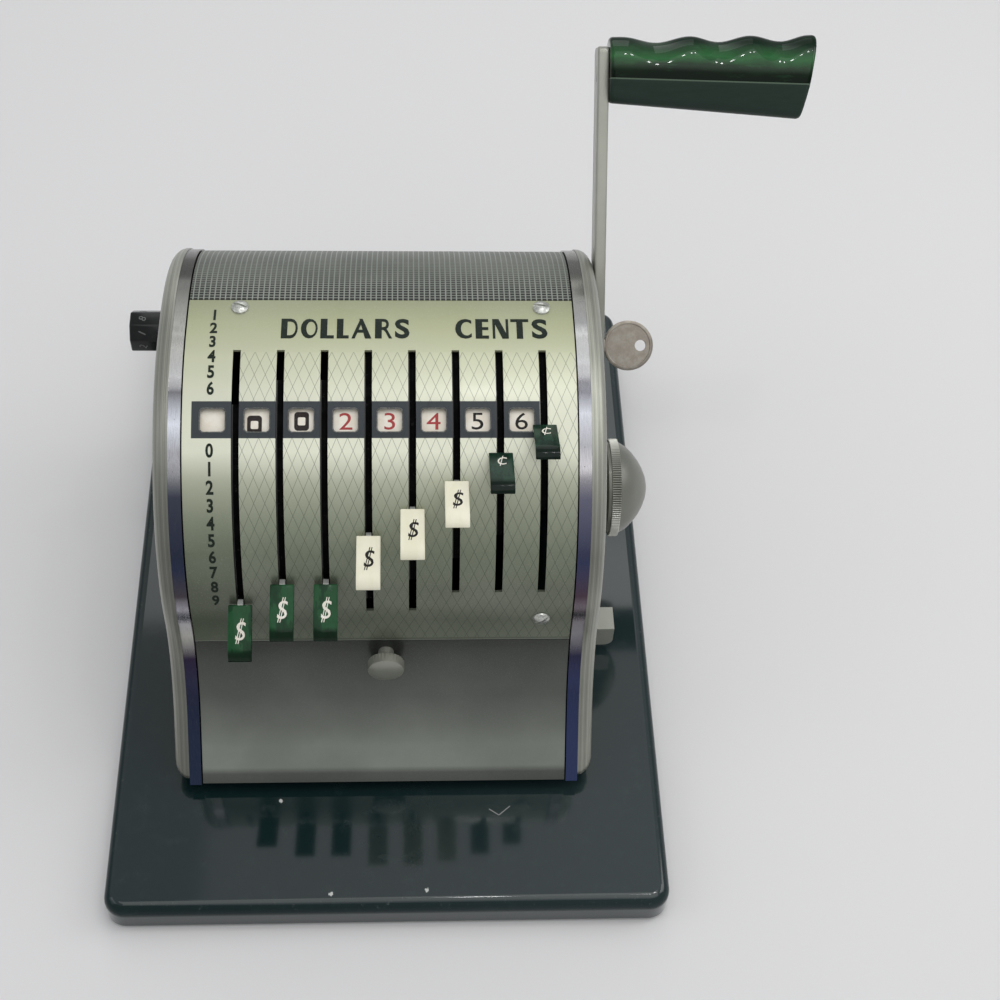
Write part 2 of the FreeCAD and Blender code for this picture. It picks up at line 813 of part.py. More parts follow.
def make_lower_panel():
    runs = []
    for offset in ("0", "-skin"):
        seam = "seam_angle + seam_gap / flare_radius * 180 / pi"
        corners = front_path(offset, "lip")
        top = front_path(offset, seam)[0][:2]
        runs.append(corners + [top])
    skin_plate = plate("lower_panel_sheet", shell_outline(*runs), "-face_half", "face_half")
    lip_y = front_path("-skin", "lip")[0][0]
    lip = box(
        "lower_panel_return",
        ("-plate_inner", lip_y, LIP_Z),
        ("plate_inner", f"{lip_y} + lip_return", f"{LIP_Z} + skin"),
    )
    boss_outline = [
        ("-thumb_end", "thumb_shank + running_gap"),
        ("-thumb_end", "thumb_boss"),
        ("-thumb_end - skin * 3", "thumb_boss"),
        ("-thumb_end - skin * 3", "thumb_shank + running_gap"),
    ]
    boss = turned("lower_panel_boss", boss_outline, "thumb_x", "0", "thumb_z", TO_Y)
    hole_outline = [
        ("-thumb_face", "0"),
        ("-thumb_face", "thumb_shank + running_gap"),
        ("-thumb_end", "thumb_shank + running_gap"),
        ("-thumb_end", "0"),
    ]
    hole = turned("lower_panel_hole", hole_outline, "thumb_x", "0", "thumb_z", TO_Y)
    keep(cut("lower_panel_cut", fuse("lower_panel_solid", [skin_plate, lip, boss]), [hole]), "lower_panel")


def make_top_cover():
    runs = []
    for offset in ("0", "-skin"):
        drum = f"(face_radius + ({offset}))"
        start = rear_point(offset, "face_top_angle + seam_gap / face_radius * 180 / pi")
        runs.append([start + (drum, -1)] + rear_path(offset))
    keep(plate("top_cover_sheet", shell_outline(*runs), "-face_half", "face_half"), "top_cover")


def make_rods_and_screws():
    rods = []
    screws = []
    for i, (y, z) in enumerate(rod_places()):
        body = plate(
            f"tie_rod_{i}",
            [
                (f"{y} - rod_radius", z, "rod_radius", 1),
                (y, f"{z} - rod_radius", "rod_radius", 1),
                (f"{y} + rod_radius", z, "rod_radius", 1),
                (y, f"{z} + rod_radius", "rod_radius", 1),
            ],
            "-plate_inner",
            "plate_inner",
            [(y, z, "rod_bore")],
        )
        rods.append(body)
        shank = "cheek_outer - plate_inner + rod_screw_depth"
        outline = [
            ("0", "0"),
            ("0", "flush_head"),
            ("flush_depth", "flush_head"),
            ("flush_depth", "rod_bore"),
            (shank, "rod_bore"),
            (shank, "0"),
        ]
        flip = Rotation(Vector(0, 0, 1), 180)
        screws.append(turned(f"cheek_screw_right_{i}", outline, "cheek_outer", y, z, flip))
        screws.append(turned(f"cheek_screw_left_{i}", outline, "-cheek_outer", y, z))
    keep(group("tie_rod_group", rods), "tie_rods")
    keep(group("cheek_screw_group", screws), "cheek_screws")


# ---------------------------------------------------------------- setting levers
def ring_outline(outer, inner, low_angle, high_angle):
    """Closed outline of a piece of ring about the shaft, between two local angles."""
    middle = f"(({low_angle}) + ({high_angle})) / 2"
    return [
        polar(outer, low_angle) + (outer, -1),
        polar(outer, middle) + (outer, -1),
        polar(outer, high_angle),
        polar(inner, high_angle) + (inner, 1),
        polar(inner, middle) + (inner, 1),
        polar(inner, low_angle),
    ]


def pie_outline(outer, low_angle, high_angle):
    middle = f"(({low_angle}) + ({high_angle})) / 2"
    return [
        ("0", "0"),
        polar(outer, low_angle) + (outer, -1),
        polar(outer, middle) + (outer, -1),
        polar(outer, high_angle),
    ]


def cap_point(along, up):
    """Point of the key cap, by its distance along the cap and above its middle line."""
    return (
        f"-neck_reach - ({along}) * cos(cap_angle) - ({up}) * sin(cap_angle)",
        f"-({along}) * sin(cap_angle) + ({up}) * cos(cap_angle)",
    )


def blade_outline():
    """Neck of the lever through the slot, bent down into the tang that holds the cap."""
    return [
        ("-type_radius", "-neck_lower"),
        ("-neck_reach + tang_half", "-neck_lower"),
        cap_point("0", "-tang_half"),
        cap_point("tang_length", "-tang_half"),
        cap_point("tang_length", "tang_half"),
        cap_point("0", "tang_half"),
        ("-neck_reach + tang_half", "neck_upper"),
        ("-type_radius", "neck_upper"),
    ]


def make_lever(column):
    x = column_x(column)
    near = f"{x} - lever_plate / 2"
    far = f"{x} + lever_plate / 2"
    band_near = f"{near} - band_width"
    angle = f"blank_angle + digit_step * {REST_STEPS[column - 1]}"
    upper = plate(f"lever_{column}_upper", pie_outline("band_radius", "-band_low", "band_high"), near, far)
    lower = plate(f"lever_{column}_lower", pie_outline("type_radius", "-type_end", "-type_start"), near, far)
    types = plate(
        f"lever_{column}_types",
        ring_outline("type_radius", "type_radius - type_depth", "-type_end", "-type_start"),
        band_near,
        near,
    )
    blade = plate(f"lever_{column}_blade", blade_outline(), near, far)
    hub = rod(f"lever_{column}_hub", "hub_radius", f"{far} - column_pitch + hub_end_gap", far, "0", "0")
    bore = rod(
        f"lever_{column}_bore", "shaft_radius + running_gap", f"{far} - column_pitch", f"{far} + 1", "0", "0"
    )
    solid = fuse(f"lever_{column}_solid", [upper, lower, types, blade, hub])
    sector = cut(f"lever_{column}_cut", solid, [bore])

    band = plate(
        f"lever_{column}_band",
        ring_outline("band_radius", "band_radius - band_skin", "-band_low", "band_high"),
        band_near,
        near,
    )

    half_cap = "cap_width / 2"
    wedge = plate(
        f"lever_{column}_cap_wedge",
        [
            cap_point("0", "-cap_root_lower"),
            cap_point("cap_length", "-cap_tip_lower"),
            cap_point("cap_length", "cap_upper"),
            cap_point("0", "cap_upper"),
        ],
        f"{x} - {half_cap}",
        f"{x} + {half_cap}",
    )
    socket = plate(f"lever_{column}_socket", blade_outline(), near, far)
    cap = cut(f"lever_{column}_cap_cut", wedge, [socket])

    names = (f"lever_sector_{column}", f"digit_band_{column}", f"key_cap_{column}")
    for item, name in zip((sector, band, cap), names):
        move(item, "0", "axis_y", "axis_z")
        if item is band:
            bind(item, "Placement.Base.x", band_near)
        lean(item, angle)
        keep(item, name)


def make_lever_shaft():
    shaft = rod("lever_shaft_rod", "shaft_radius", "-plate_outer", "plate_outer", "axis_y", "axis_z")
    keep(shaft, "lever_shaft")


def make_detent_comb():
    """Square bar across the back with one spring finger for each lever hub."""
    corners = [
        polar("comb_radius + comb_half", "0"),
        polar("comb_radius - comb_half", "0"),
    ]
    bar_outline = [
        (corners[0][0], "-comb_half"),
        (corners[1][0], "-comb_half"),
        (corners[1][0], "comb_half"),
        (corners[0][0], "comb_half"),
    ]
    parts = [plate("comb_bar", bar_outline, "-plate_inner", "plate_inner")]
    for column in range(1, 9):
        x = column_x(column)
        tip = "-(hub_radius + finger_gap)"
        finger_outline = [
            (corners[1][0], "-finger_skin / 2"),
            (tip, "-finger_skin / 2"),
            (tip, "finger_skin / 2"),
            (corners[1][0], "finger_skin / 2"),
        ]
        low = f"{x} - lever_plate / 2 - finger_width"
        parts.append(plate(f"comb_finger_{column}", finger_outline, low, f"{low} + finger_width"))
    comb = fuse("detent_comb_fused", parts)
    move(comb, "0", "axis_y", "axis_z")
    lean(comb, "comb_angle")
    keep(comb, "detent_comb")


# ---------------------------------------------------------------- operating handle
def make_handle():
    shaft_outline = [
        ("plate_inner + crank_gap", "0"),
        ("plate_inner + crank_gap", "pivot_radius"),
        (ARM_OUTER, "pivot_radius"),
        (ARM_OUTER, "stud_radius"),
        (f"{ARM_OUTER} + stud_length", "stud_radius"),
        (f"{ARM_OUTER} + stud_length", "0"),
    ]
    keep(turned("handle_shaft_turned", shaft_outline, "0", "pivot_y", "pivot_z"), "handle_shaft")

    bar_outline = [
        ("-arm_half", "0"),
        ("arm_half", "0"),
        ("arm_half", "arm_reach", "arm_half", 1),
        ("0", "arm_reach + arm_half", "arm_half", 1),
        ("-arm_half", "arm_reach"),
    ]
    bar = plate("handle_bar", bar_outline, ARM_INNER, ARM_OUTER)
    hub = rod("handle_hub", "arm_hub", ARM_INNER, ARM_OUTER, "0", "0")
    bore = rod("handle_bore", "pivot_radius", ARM_INNER, ARM_OUTER, "0", "0")
    screw_bore = rod("handle_screw_bore", "grip_screw_radius", ARM_INNER, ARM_OUTER, "0", "grip_screw_rise")
    arm = cut("handle_arm_cut", fuse("handle_arm_solid", [bar, hub]), [bore, screw_bore])

    grip = cut("grip_cut", make_grip_body(), make_grip_tools())

    screw_outline = [
        ("-screw_head_tall", "0"),
        ("-screw_head_tall", "grip_screw_head - screw_head_tall / 2"),
        ("-screw_head_tall / 2", "grip_screw_head"),
        ("0", "grip_screw_head"),
        ("0", "grip_screw_radius"),
        ("arm_thick + grip_screw_depth", "grip_screw_radius"),
        ("arm_thick + grip_screw_depth", "0"),
    ]
    screw_y = "pivot_y + grip_screw_rise * sin(handle_lean)"
    screw_z = "pivot_z + grip_screw_rise * cos(handle_lean)"
    keep(turned("grip_screw_turned", screw_outline, ARM_INNER, screw_y, screw_z), "grip_screw")

    for item, name in ((arm, "handle_arm"), (grip, "handle_grip")):
        move(item, "0", "pivot_y", "pivot_z")
        lean(item, "handle_lean")
        keep(item, name)


def grip_section(spread):
    """Section of the grip above its low edge: a flat near face under a ridge, and a round back."""
    return [
        (f"-grip_front_low + {spread} / 2", f"grip_low - {spread}"),
        (f"-grip_front_ridge + {spread} / 3", f"grip_low + grip_ridge - {spread} / 3", "grip_round", -1),
        ("0", f"grip_low + grip_top + {spread} / 3", "grip_round", -1),
        (f"grip_back + {spread} / 4", "grip_low + grip_back_edge"),
        (f"grip_back_low + {spread} / 4", f"grip_low - {spread}"),
    ]


def make_grip_body():
    body = doc.addObject("PartDesign::Body", "grip_blank")
    near = new_sketch(body, "YZ_Plane")
    draw(near, grip_section("0"))
    far = new_sketch(body, "YZ_Plane", "grip_length")
    draw(far, grip_section("grip_flare"))
    loft = body.newObject("PartDesign::AdditiveLoft", "grip_loft")
    loft.Profile = near
    loft.Sections = [far]
    loft.Ruled = True
    return move(body, ARM_OUTER, "0", "0")


def make_grip_tools():
    """Finger grooves across the top of the grip, its slanted end, and the bore for its screw."""
    tools = []
    for groove in range(3):
        item = doc.addObject("Part::Cylinder", f"grip_groove_{groove}")
        bind(item, "Radius", "grip_groove_radius")
        bind(item, "Height", "grip_length")
        x = f"{ARM_OUTER} + grip_groove_first + {groove} * grip_groove_pitch"
        z = "grip_low + grip_top + grip_groove_radius - grip_groove_depth"
        move(item, x, "-grip_length / 2", z, Rotation(Vector(1, 0, 0), -90))
        tools.append(item)
    end = doc.addObject("Part::Box", "grip_end_cut")
    tall = "(2 * grip_top)"
    bind(end, "Length", "grip_length")
    bind(end, "Width", "grip_length")
    bind(end, "Height", tall)
    end_x = f"{ARM_OUTER} + grip_length - {tall} * sin(grip_slant)"
    move(end, end_x, "-grip_length / 2", f"grip_low + grip_top - {tall} * cos(grip_slant)")
    end.Placement = Placement(end.Placement.Base, Rotation(Vector(0, 1, 0), 1))
    bind(end, "Placement.Rotation.Angle", "grip_slant")
    tools.append(end)
    bore = rod(
        "grip_screw_bore",
        "grip_screw_radius",
        ARM_OUTER,
        f"{ARM_OUTER} + grip_screw_depth",
        "0",
        "grip_screw_rise",
    )
    return tools + [bore]


def crank_centre():
    return "crank_reach * cos(crank_start)", "crank_reach * sin(crank_start)"


def swing_outline(reach, half):
    """Round-ended bar from a pivot at the origin out to its reach, along the front."""
    return [
        ("0", f"-{half}"),
        ("0", half),
        (f"-{reach}", half, half, 1),
        (f"-{reach} - {half}", "0", half, 1),
        (f"-{reach}", f"-{half}"),
    ]


def make_crank():
    """Crank on the handle shaft inside the cheek, with the pin that lifts the yoke."""
    inner = f"({CRANK_OUTER} - crank_thick - yoke_thick - crank_gap)"
    outer = f"({inner} + crank_thick)"
    y, z = crank_centre()
    disc = rod("crank_disc", "crank_radius", inner, outer, "pivot_y", "pivot_z")
    web = plate("crank_web", swing_outline("crank_reach", "crank_half"), inner, outer)
    lean(move(web, inner, "pivot_y", "pivot_z"), "180 - crank_start")
    pin = rod("crank_pin_rod", "crank_pin", inner, CRANK_OUTER, f"pivot_y + {y}", f"pivot_z + {z}")
    bore = rod("crank_bore", "pivot_radius", inner, outer, "pivot_y", "pivot_z")
    keep(cut("crank_cut", fuse("crank_solid", [disc, web, pin]), [bore]), "handle_crank")


def make_dome():
    """Domed hub cap with a knurled band, turning on the stud of the handle shaft."""
    band_end = "dome_rim + dome_band"
    sphere = "((dome_shoulder ^ 2 + dome_height ^ 2) / (2 * dome_height))"
    stud_end = f"{ARM_OUTER} + stud_length + running_gap"
    outline = [
        (f"{ARM_OUTER} + running_gap", "stud_radius + running_gap"),
        (f"{ARM_OUTER} + running_gap", "dome_neck"),
        ("dome_start", "dome_neck"),
        ("dome_start", "dome_shoulder"),
        ("dome_rim", "dome_radius"),
        (band_end, "dome_radius"),
        (band_end, "dome_shoulder", sphere, -1),
        (f"{band_end} + dome_height", "0"),
        (stud_end, "0"),
        (stud_end, "stud_radius + running_gap"),
    ]
    keep(turned("dome_turned", outline, "0", "pivot_y", "pivot_z"), "hub_dome")


def make_return_spring():
    """Torsion spring round the handle shaft, with one leg on the side plate."""
    x = "plate_outer + spring_wire"
    ring = doc.addObject("Part::Torus", "spring_ring")
    bind(ring, "Radius1", "spring_radius")
    bind(ring, "Radius2", "spring_wire")
    move(ring, x, "pivot_y", "pivot_z", TO_X)
    leg = doc.addObject("Part::Cylinder", "spring_leg_rod")
    bind(leg, "Radius", "spring_wire")
    bind(leg, "Height", "spring_leg")
    move(leg, x, "pivot_y - spring_radius", "pivot_z")
    keep(fuse("return_spring_fused", [ring, leg]), "return_spring")


# ---------------------------------------------------------------- platen and ink roll
def make_platen():
    top = f"({BASE_TOP} - platen_below)"
    low = f"({top} - platen_tall)"
    block = box(
        "platen_block",
        ("-platen_left", "axis_y - platen_front", low),
        ("platen_right", "axis_y + platen_front", top),
    )
    yoke_x = f"({CRANK_OUTER} - yoke_thick)"
    carrier = box(
        "platen_carrier",
        ("-platen_left", "axis_y - platen_front", f"{low} - carrier_thick"),
        ("platen_right", "yoke_far", low),
    )
    bridge = box(
        "platen_bridge",
        ("platen_right", "yoke_near", f"{low} - carrier_thick"),
        (CRANK_OUTER, "yoke_far", low),
    )
    y, z = crank_centre()
    pin_y = f"(pivot_y + {y})"
    pin_z = f"(pivot_z + {z})"
    slot_half = "(crank_pin + yoke_slack)"
    front = f"{pin_y} - crank_pin - yoke_front_room"
    back = f"{pin_y} + crank_pin + yoke_back_room"
    head_top = f"{pin_z} + {slot_half} + yoke_wall"
    head_low = f"{pin_z} - {slot_half} - yoke_wall"
    stem = box("yoke_stem", (yoke_x, "yoke_near", low), (CRANK_OUTER, "yoke_far", head_top))
    head = box("yoke_head", (yoke_x, f"{front} - yoke_wall", head_low), (CRANK_OUTER, "yoke_near", head_top))
    slot_low, slot_top = f"{pin_z} - {slot_half}", f"{pin_z} + {slot_half}"
    slot = box("yoke_slot", (yoke_x, front, slot_low), (CRANK_OUTER, back, slot_top))
    keep(cut("platen_cut", fuse("platen_solid", [block, carrier, bridge, stem, head]), [slot]), "platen")


def make_ink_roll():
    y, z = shifted(polar("ink_orbit", "-ink_angle"), "axis_y", "axis_z")
    arms = []
    for side, low, high in (
        ("left", "-ink_left", "-ink_left + ink_arm_thick"),
        ("right", "ink_right - ink_arm_thick", "ink_right"),
    ):
        bar = plate(f"ink_arm_{side}_bar", swing_outline("ink_orbit", "ink_arm_half"), low, high)
        move(bar, low, "axis_y", "axis_z")
        lean(bar, "-ink_angle")
        arms.append(bar)
        arms.append(rod(f"ink_arm_{side}_hub", "hub_radius", low, high, "axis_y", "axis_z"))
    axle = rod("ink_axle_rod", "ink_axle", "-ink_left", "ink_right", y, z)
    bore = rod("ink_hub_bore", "shaft_radius + running_gap", "-ink_left", "ink_right", "axis_y", "axis_z")
    keep(cut("ink_carriage_cut", fuse("ink_carriage_solid", arms + [axle]), [bore]), "ink_carriage")

    outline = [
        ("-ink_left + ink_arm_thick + ink_end_gap", "ink_axle + running_gap"),
        ("-ink_left + ink_arm_thick + ink_end_gap", "ink_radius"),
        ("ink_right - ink_arm_thick - ink_end_gap", "ink_radius"),
        ("ink_right - ink_arm_thick - ink_end_gap", "ink_axle + running_gap"),
    ]
    keep(turned("ink_roll_turned", outline, "0", y, z), "ink_roll")


# ---------------------------------------------------------------- knobs, lock and tab
def make_prefix_knob():
    shaft_end = "-(prefix_start + prefix_flats / 2)"
    knob = doc.addObject("Part::Prism", "prefix_knob_prism")
    knob.Polygon = 8
    bind(knob, "Circumradius", "prefix_flats / 2 / cos(22.5)")
    bind(knob, "Height", "prefix_end - prefix_start")
    move(knob, "-prefix_end", "0", "0", TO_X)
    socket = rod("prefix_socket", "prefix_shaft", shaft_end, "-prefix_start", "0", "0")
    bored = cut("prefix_knob_cut", knob, [socket])
    move(bored, "0", "prefix_y", "prefix_z")
    lean(bored, "prefix_turn")
    keep(bored, "prefix_knob")
    shaft = rod(
        "prefix_shaft_rod",
        "prefix_shaft",
        shaft_end,
        "-(plate_inner + running_gap)",
        "prefix_y",
        "prefix_z",
    )
    keep(shaft, "prefix_shaft_rod")


def make_lock():
    flange_end = "cheek_outer + lock_flange_thick"
    outline = [
        ("plate_inner", "plug_radius + running_gap"),
        ("plate_inner", "lock_barrel"),
        ("cheek_outer", "lock_barrel"),
        ("cheek_outer", "lock_flange"),
        (flange_end, "lock_flange"),
        (flange_end, "plug_radius + running_gap"),
    ]
    keep(turned("lock_turned", outline, "0", "lock_y", "lock_z"), "lock_cylinder")

    plug = rod("plug_rod", "plug_radius", "plug_start", flange_end, "0", "0")
    keyway = box(
        "plug_keyway",
        ("key_start", "-key_thick / 2", "-key_blade"),
        (flange_end, "key_thick / 2", "key_blade"),
    )
    plug_cut = cut("plug_cut", plug, [keyway])

    blade = box(
        "key_blade_box",
        ("key_start", "-key_thick / 2", "-key_blade"),
        ("key_bow_x - key_bow / 2", "key_thick / 2", "key_blade"),
    )
    bow = doc.addObject("Part::Cylinder", "key_bow_disc")
    bind(bow, "Radius", "key_bow")
    bind(bow, "Height", "key_thick")
    move(bow, "key_bow_x", "key_thick / 2", "0", Rotation(Vector(1, 0, 0), 90))
    hole = doc.addObject("Part::Cylinder", "key_ring_hole")
    bind(hole, "Radius", "key_hole")
    bind(hole, "Height", "key_thick")
    move(hole, "key_bow_x + key_hole_out", "key_thick / 2", "0", Rotation(Vector(1, 0, 0), 90))
    key = cut("key_cut", fuse("key_solid", [blade, bow]), [hole])
    for item, name in ((plug_cut, "lock_plug"), (key, "key")):
        move(item, "0", "lock_y", "lock_z")
        lean(item, "key_turn")
        keep(item, name)


def make_thumb_screw():
    crown = "((thumb_radius ^ 2 + thumb_crown ^ 2) / (2 * thumb_crown))"
    face = "-(thumb_face - thumb_crown)"
    rim_back = "-(thumb_face - thumb_crown - thumb_rim)"
    seat = f"({FLARE_Y} + flare_radius * cos(asin((axis_z - thumb_z + thumb_stem) / flare_radius)))"
    outline = [
        ("-thumb_face", "0", crown, -1),
        (face, "thumb_radius"),
        (rim_back, "thumb_radius"),
        (rim_back, "thumb_stem"),
        (f"{seat} - running_gap", "thumb_stem"),
        (f"{seat} - running_gap", "thumb_shank"),
        ("-thumb_end", "thumb_shank"),
        ("-thumb_end", "0"),
    ]
    keep(turned("thumb_turned", outline, "thumb_x", "0", "thumb_z", TO_Y), "thumb_screw")


def make_tab_lever():
    """Sprung release tab: a stem inside the cheek, with a bent tab out through its slot."""
    low = "(plate_outer + tab_gap)"
    high = f"({low} + tab_thick)"
    stem_outline = [
        ("tab_pivot_y + tab_stem_half", "tab_pivot_z - tab_stem_half"),
        ("tab_pivot_y + tab_stem_half", "tab_pivot_z + tab_stem_half"),
        ("tab_pivot_y - tab_stem_half", "tab_pivot_z + tab_stem_half"),
        ("-tab_back", "tab_top"),
        ("-tab_front", "tab_top"),
        ("-tab_front", "tab_top - tab_stem_half"),
        ("-tab_back", "tab_top - tab_stem_half"),
    ]
    bore = [("tab_pivot_y", "tab_pivot_z", "tab_pin + running_gap")]
    stem = plate("tab_stem", stem_outline, low, high, bore)
    shelf = box("tab_shelf", (low, "-tab_front", "tab_top - tab_thick"), ("tab_end", "-tab_back", "tab_top"))
    flange = doc.addObject("PartDesign::Body", "tab_flange")
    sketch = new_sketch(flange, "XZ_Plane")
    draw(
        sketch,
        [
            ("tab_flange_start", "tab_top"),
            ("tab_flange_start", "tab_low"),
            ("tab_end - tab_corner", "tab_low", "tab_corner", 1),
            ("tab_end", "tab_low + tab_corner"),
            ("tab_end", "tab_top"),
        ],
    )
    pad = flange.newObject("PartDesign::Pad", "tab_flange_pad")
    pad.Profile = sketch
    bind(pad, "Length", "tab_thick")
    bind(flange, "Placement.Base.y", "-tab_front + tab_thick")
    keep(fuse("tab_lever_fused", [stem, shelf, flange]), "tab_lever")


# ---------------------------------------------------------------- the assembly
make_base()
make_base_screws()
for hand in ("left", "right"):
    make_side_plate(hand)
    make_trim(hand)
    make_cheek(hand)
make_faceplate()
make_face_screws()
make_face_rail()
make_lower_panel()
make_top_cover()
make_rods_and_screws()
make_lever_shaft()
make_detent_comb()
for column_number in range(1, 9):
    make_lever(column_number)
make_handle()
make_crank()
make_return_spring()
make_dome()
make_platen()
make_ink_roll()
make_prefix_knob()
make_lock()
make_thumb_screw()
make_tab_lever()
doc.recompute()

# ---------------------------------------------------------------- checks and export
for entry in doc.Objects:
    if "Invalid" in entry.State or "Error" in entry.State:
        raise RuntimeError(f"{entry.Label} failed to build: {entry.State}")
os.makedirs("parts", exist_ok=True)
for piece in pieces:
    if piece.Shape.isNull() or not piece.Shape.isValid() or piece.Shape.Volume <= 0:
        raise RuntimeError(f"{piece.Label} has no sound solid")
    piece.Shape.exportStep(f"parts/{piece.Label}.step")
print(len(pieces), "pieces written")
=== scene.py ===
# %% [markdown]
# A desk check writer, dressed for its portrait.
# It arrives as plain solids, one for each real part.  This lesson adds paint, plating and print,
# and the pieces whose shape the solids only hint at, each tied to the body that it moves with.

# %% Load the frame
import bmesh
import bpy
import math
from mathutils import Matrix, Vector


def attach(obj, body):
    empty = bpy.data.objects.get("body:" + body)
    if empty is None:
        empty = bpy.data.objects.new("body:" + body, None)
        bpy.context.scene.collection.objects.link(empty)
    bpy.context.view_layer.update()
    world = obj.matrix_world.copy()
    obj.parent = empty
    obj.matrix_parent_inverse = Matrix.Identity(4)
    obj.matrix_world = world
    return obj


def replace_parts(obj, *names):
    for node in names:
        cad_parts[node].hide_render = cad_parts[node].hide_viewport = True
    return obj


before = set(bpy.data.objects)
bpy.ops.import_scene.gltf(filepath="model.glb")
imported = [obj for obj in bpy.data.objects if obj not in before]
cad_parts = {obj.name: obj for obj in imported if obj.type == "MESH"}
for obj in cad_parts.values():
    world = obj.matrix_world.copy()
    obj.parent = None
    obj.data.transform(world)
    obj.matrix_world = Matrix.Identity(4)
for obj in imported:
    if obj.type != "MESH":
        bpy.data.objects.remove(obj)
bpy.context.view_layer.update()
MM = 0.001

# %% [markdown]
# From the side the face is one curve: a flared foot, a round front, a short flat and a round
# back.  One function turns a distance down that curve, from the flat's front, into a place.

# %% The curve of the face
AXIS_Y, AXIS_Z = 3.0, 87.0
DRUM, FLARE, FLAT = 78.0, 75.0, 8.2
SEAM_ANGLE, FLARE_ANGLE = 8.5, 38.0
FRONT_END = DRUM * math.pi / 2
COLUMNS = range(1, 9)
LEVER_PITCH, LEVER_SHIFT = 15.875, 3.3
REST_STEPS = (0, 1, 1, 3, 4, 5, 6, 7)
BLANK_ANGLE, DIGIT_ANGLE, WINDOW_ANGLE = 9.2, 7.2, 61.9
WINDOW_SHIFT = 8.05
HANDLE_Y, HANDLE_Z, HANDLE_LEAN = -9.0, 84.5, math.radians(41.0)


def face_place(down, lift=0.0):
    """Y and Z in millimetres of a point this far down the face, lifted off the metal."""
    reach = DRUM + lift
    if down < -FLAT:
        turn = (-down - FLAT) / DRUM
        return AXIS_Y + FLAT + reach * math.sin(turn), AXIS_Z + reach * math.cos(turn)
    if down < 0:
        return AXIS_Y - down, AXIS_Z + reach
    if down < FRONT_END:
        turn = math.pi / 2 - down / DRUM
        return AXIS_Y - reach * math.cos(turn), AXIS_Z + reach * math.sin(turn)
    turn = (down - FRONT_END) / FLARE
    reach = FLARE - lift
    return AXIS_Y - DRUM - FLARE + reach * math.cos(turn), AXIS_Z - reach * math.sin(turn)


def drum_down(angle):
    """Distance down the face of an angle on the drum, measured up from its front."""
    return math.radians(90 - angle) * DRUM


def lever_x(column):
    return LEVER_SHIFT + (column - 4.5) * LEVER_PITCH


print("the face runs", round(FRONT_END + FLARE * math.radians(FLARE_ANGLE)), "mm to the flare's end")

# %% [markdown]
# Mesh pieces are drawn in millimetres and leave through one door, which welds doubled points,
# turns faces outwards, scales to metres and names the body.  Smooth shading with a sharp limit
# keeps flat faces flat and round ones round.

# %% How a piece is finished
def as_data(name, mesh):
    """Turn a bmesh into mesh data, and let the bmesh go."""
    data = bpy.data.meshes.new(name)
    mesh.to_mesh(data)
    mesh.free()
    return data


def put(name, data):
    """Make an object and link it to the scene."""
    made = bpy.data.objects.new(name, data)
    bpy.context.scene.collection.objects.link(made)
    return made


def make_piece(name, mesh, paint, body, slot, sharp=32, weld=0.002):
    """Turn a bmesh in millimetres into a finished piece that rides on a body."""
    bmesh.ops.remove_doubles(mesh, verts=mesh.verts, dist=weld)
    bmesh.ops.recalc_face_normals(mesh, faces=mesh.faces)
    bmesh.ops.scale(mesh, vec=(MM, MM, MM), verts=mesh.verts)
    data = as_data(name, mesh)
    data.shade_smooth()
    data.set_sharp_from_angle(angle=math.radians(sharp))
    piece = put(name, data)
    data.materials.append(paint.material)
    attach(piece, body)
    return piece


def shift(mesh, vector):
    bmesh.ops.translate(mesh, verts=mesh.verts, vec=vector)


def move(mesh, matrix):
    bmesh.ops.transform(mesh, matrix=matrix, verts=mesh.verts)


def seat(place, turn, axis="X"):
    """A frame at a place, turned about one of its axes."""
    return Matrix.Translation(place) @ Matrix.Rotation(turn, 4, axis)


def baked(holder):
    """The mesh of an object as it now stands, with its letters or modifiers worked out."""
    bpy.context.view_layer.update()
    return bpy.data.meshes.new_from_object(holder.evaluated_get(bpy.context.evaluated_depsgraph_get()))


def join(target, source):
    """Pour one bmesh into another."""
    data = as_data("pour", source)
    target.from_mesh(data)
    bpy.data.meshes.remove(data)


def turned(profile, steps=64, axis="X"):
    """Spin (along, radius) points into a turned shape about one axis through the origin."""
    mesh, points = bmesh.new(), []
    for along, radius in profile:
        place = {"X": (along, 0, radius), "Y": (0, along, radius), "Z": (radius, 0, along)}[axis]
        points.append(mesh.verts.new(place))
    edges = [mesh.edges.new(pair) for pair in zip(points, points[1:])]
    way = {"X": (1, 0, 0), "Y": (0, 1, 0), "Z": (0, 0, 1)}[axis]
    turn = {"cent": (0, 0, 0), "axis": way, "angle": 2 * math.pi, "steps": steps, "use_merge": True}
    bmesh.ops.spin(mesh, geom=points + edges, **turn)
    bmesh.ops.remove_doubles(mesh, verts=mesh.verts, dist=0.001)
    return mesh


def fresh_verts(made):
    """The points that an extrusion made."""
    return [item for item in made["geom"] if isinstance(item, bmesh.types.BMVert)]


def thicken(mesh, faces, thick):
    """Extrude faces by a vector, so that a flat shape becomes a closed one."""
    grown = bmesh.ops.extrude_face_region(mesh, geom=faces)
    bmesh.ops.translate(mesh, verts=fresh_verts(grown), vec=thick)


def slab(outline, thick):
    """Fill an outline of points and extrude it by a vector into a closed slab."""
    mesh = bmesh.new()
    thicken(mesh, [mesh.faces.new([mesh.verts.new(point) for point in outline])], thick)
    return mesh


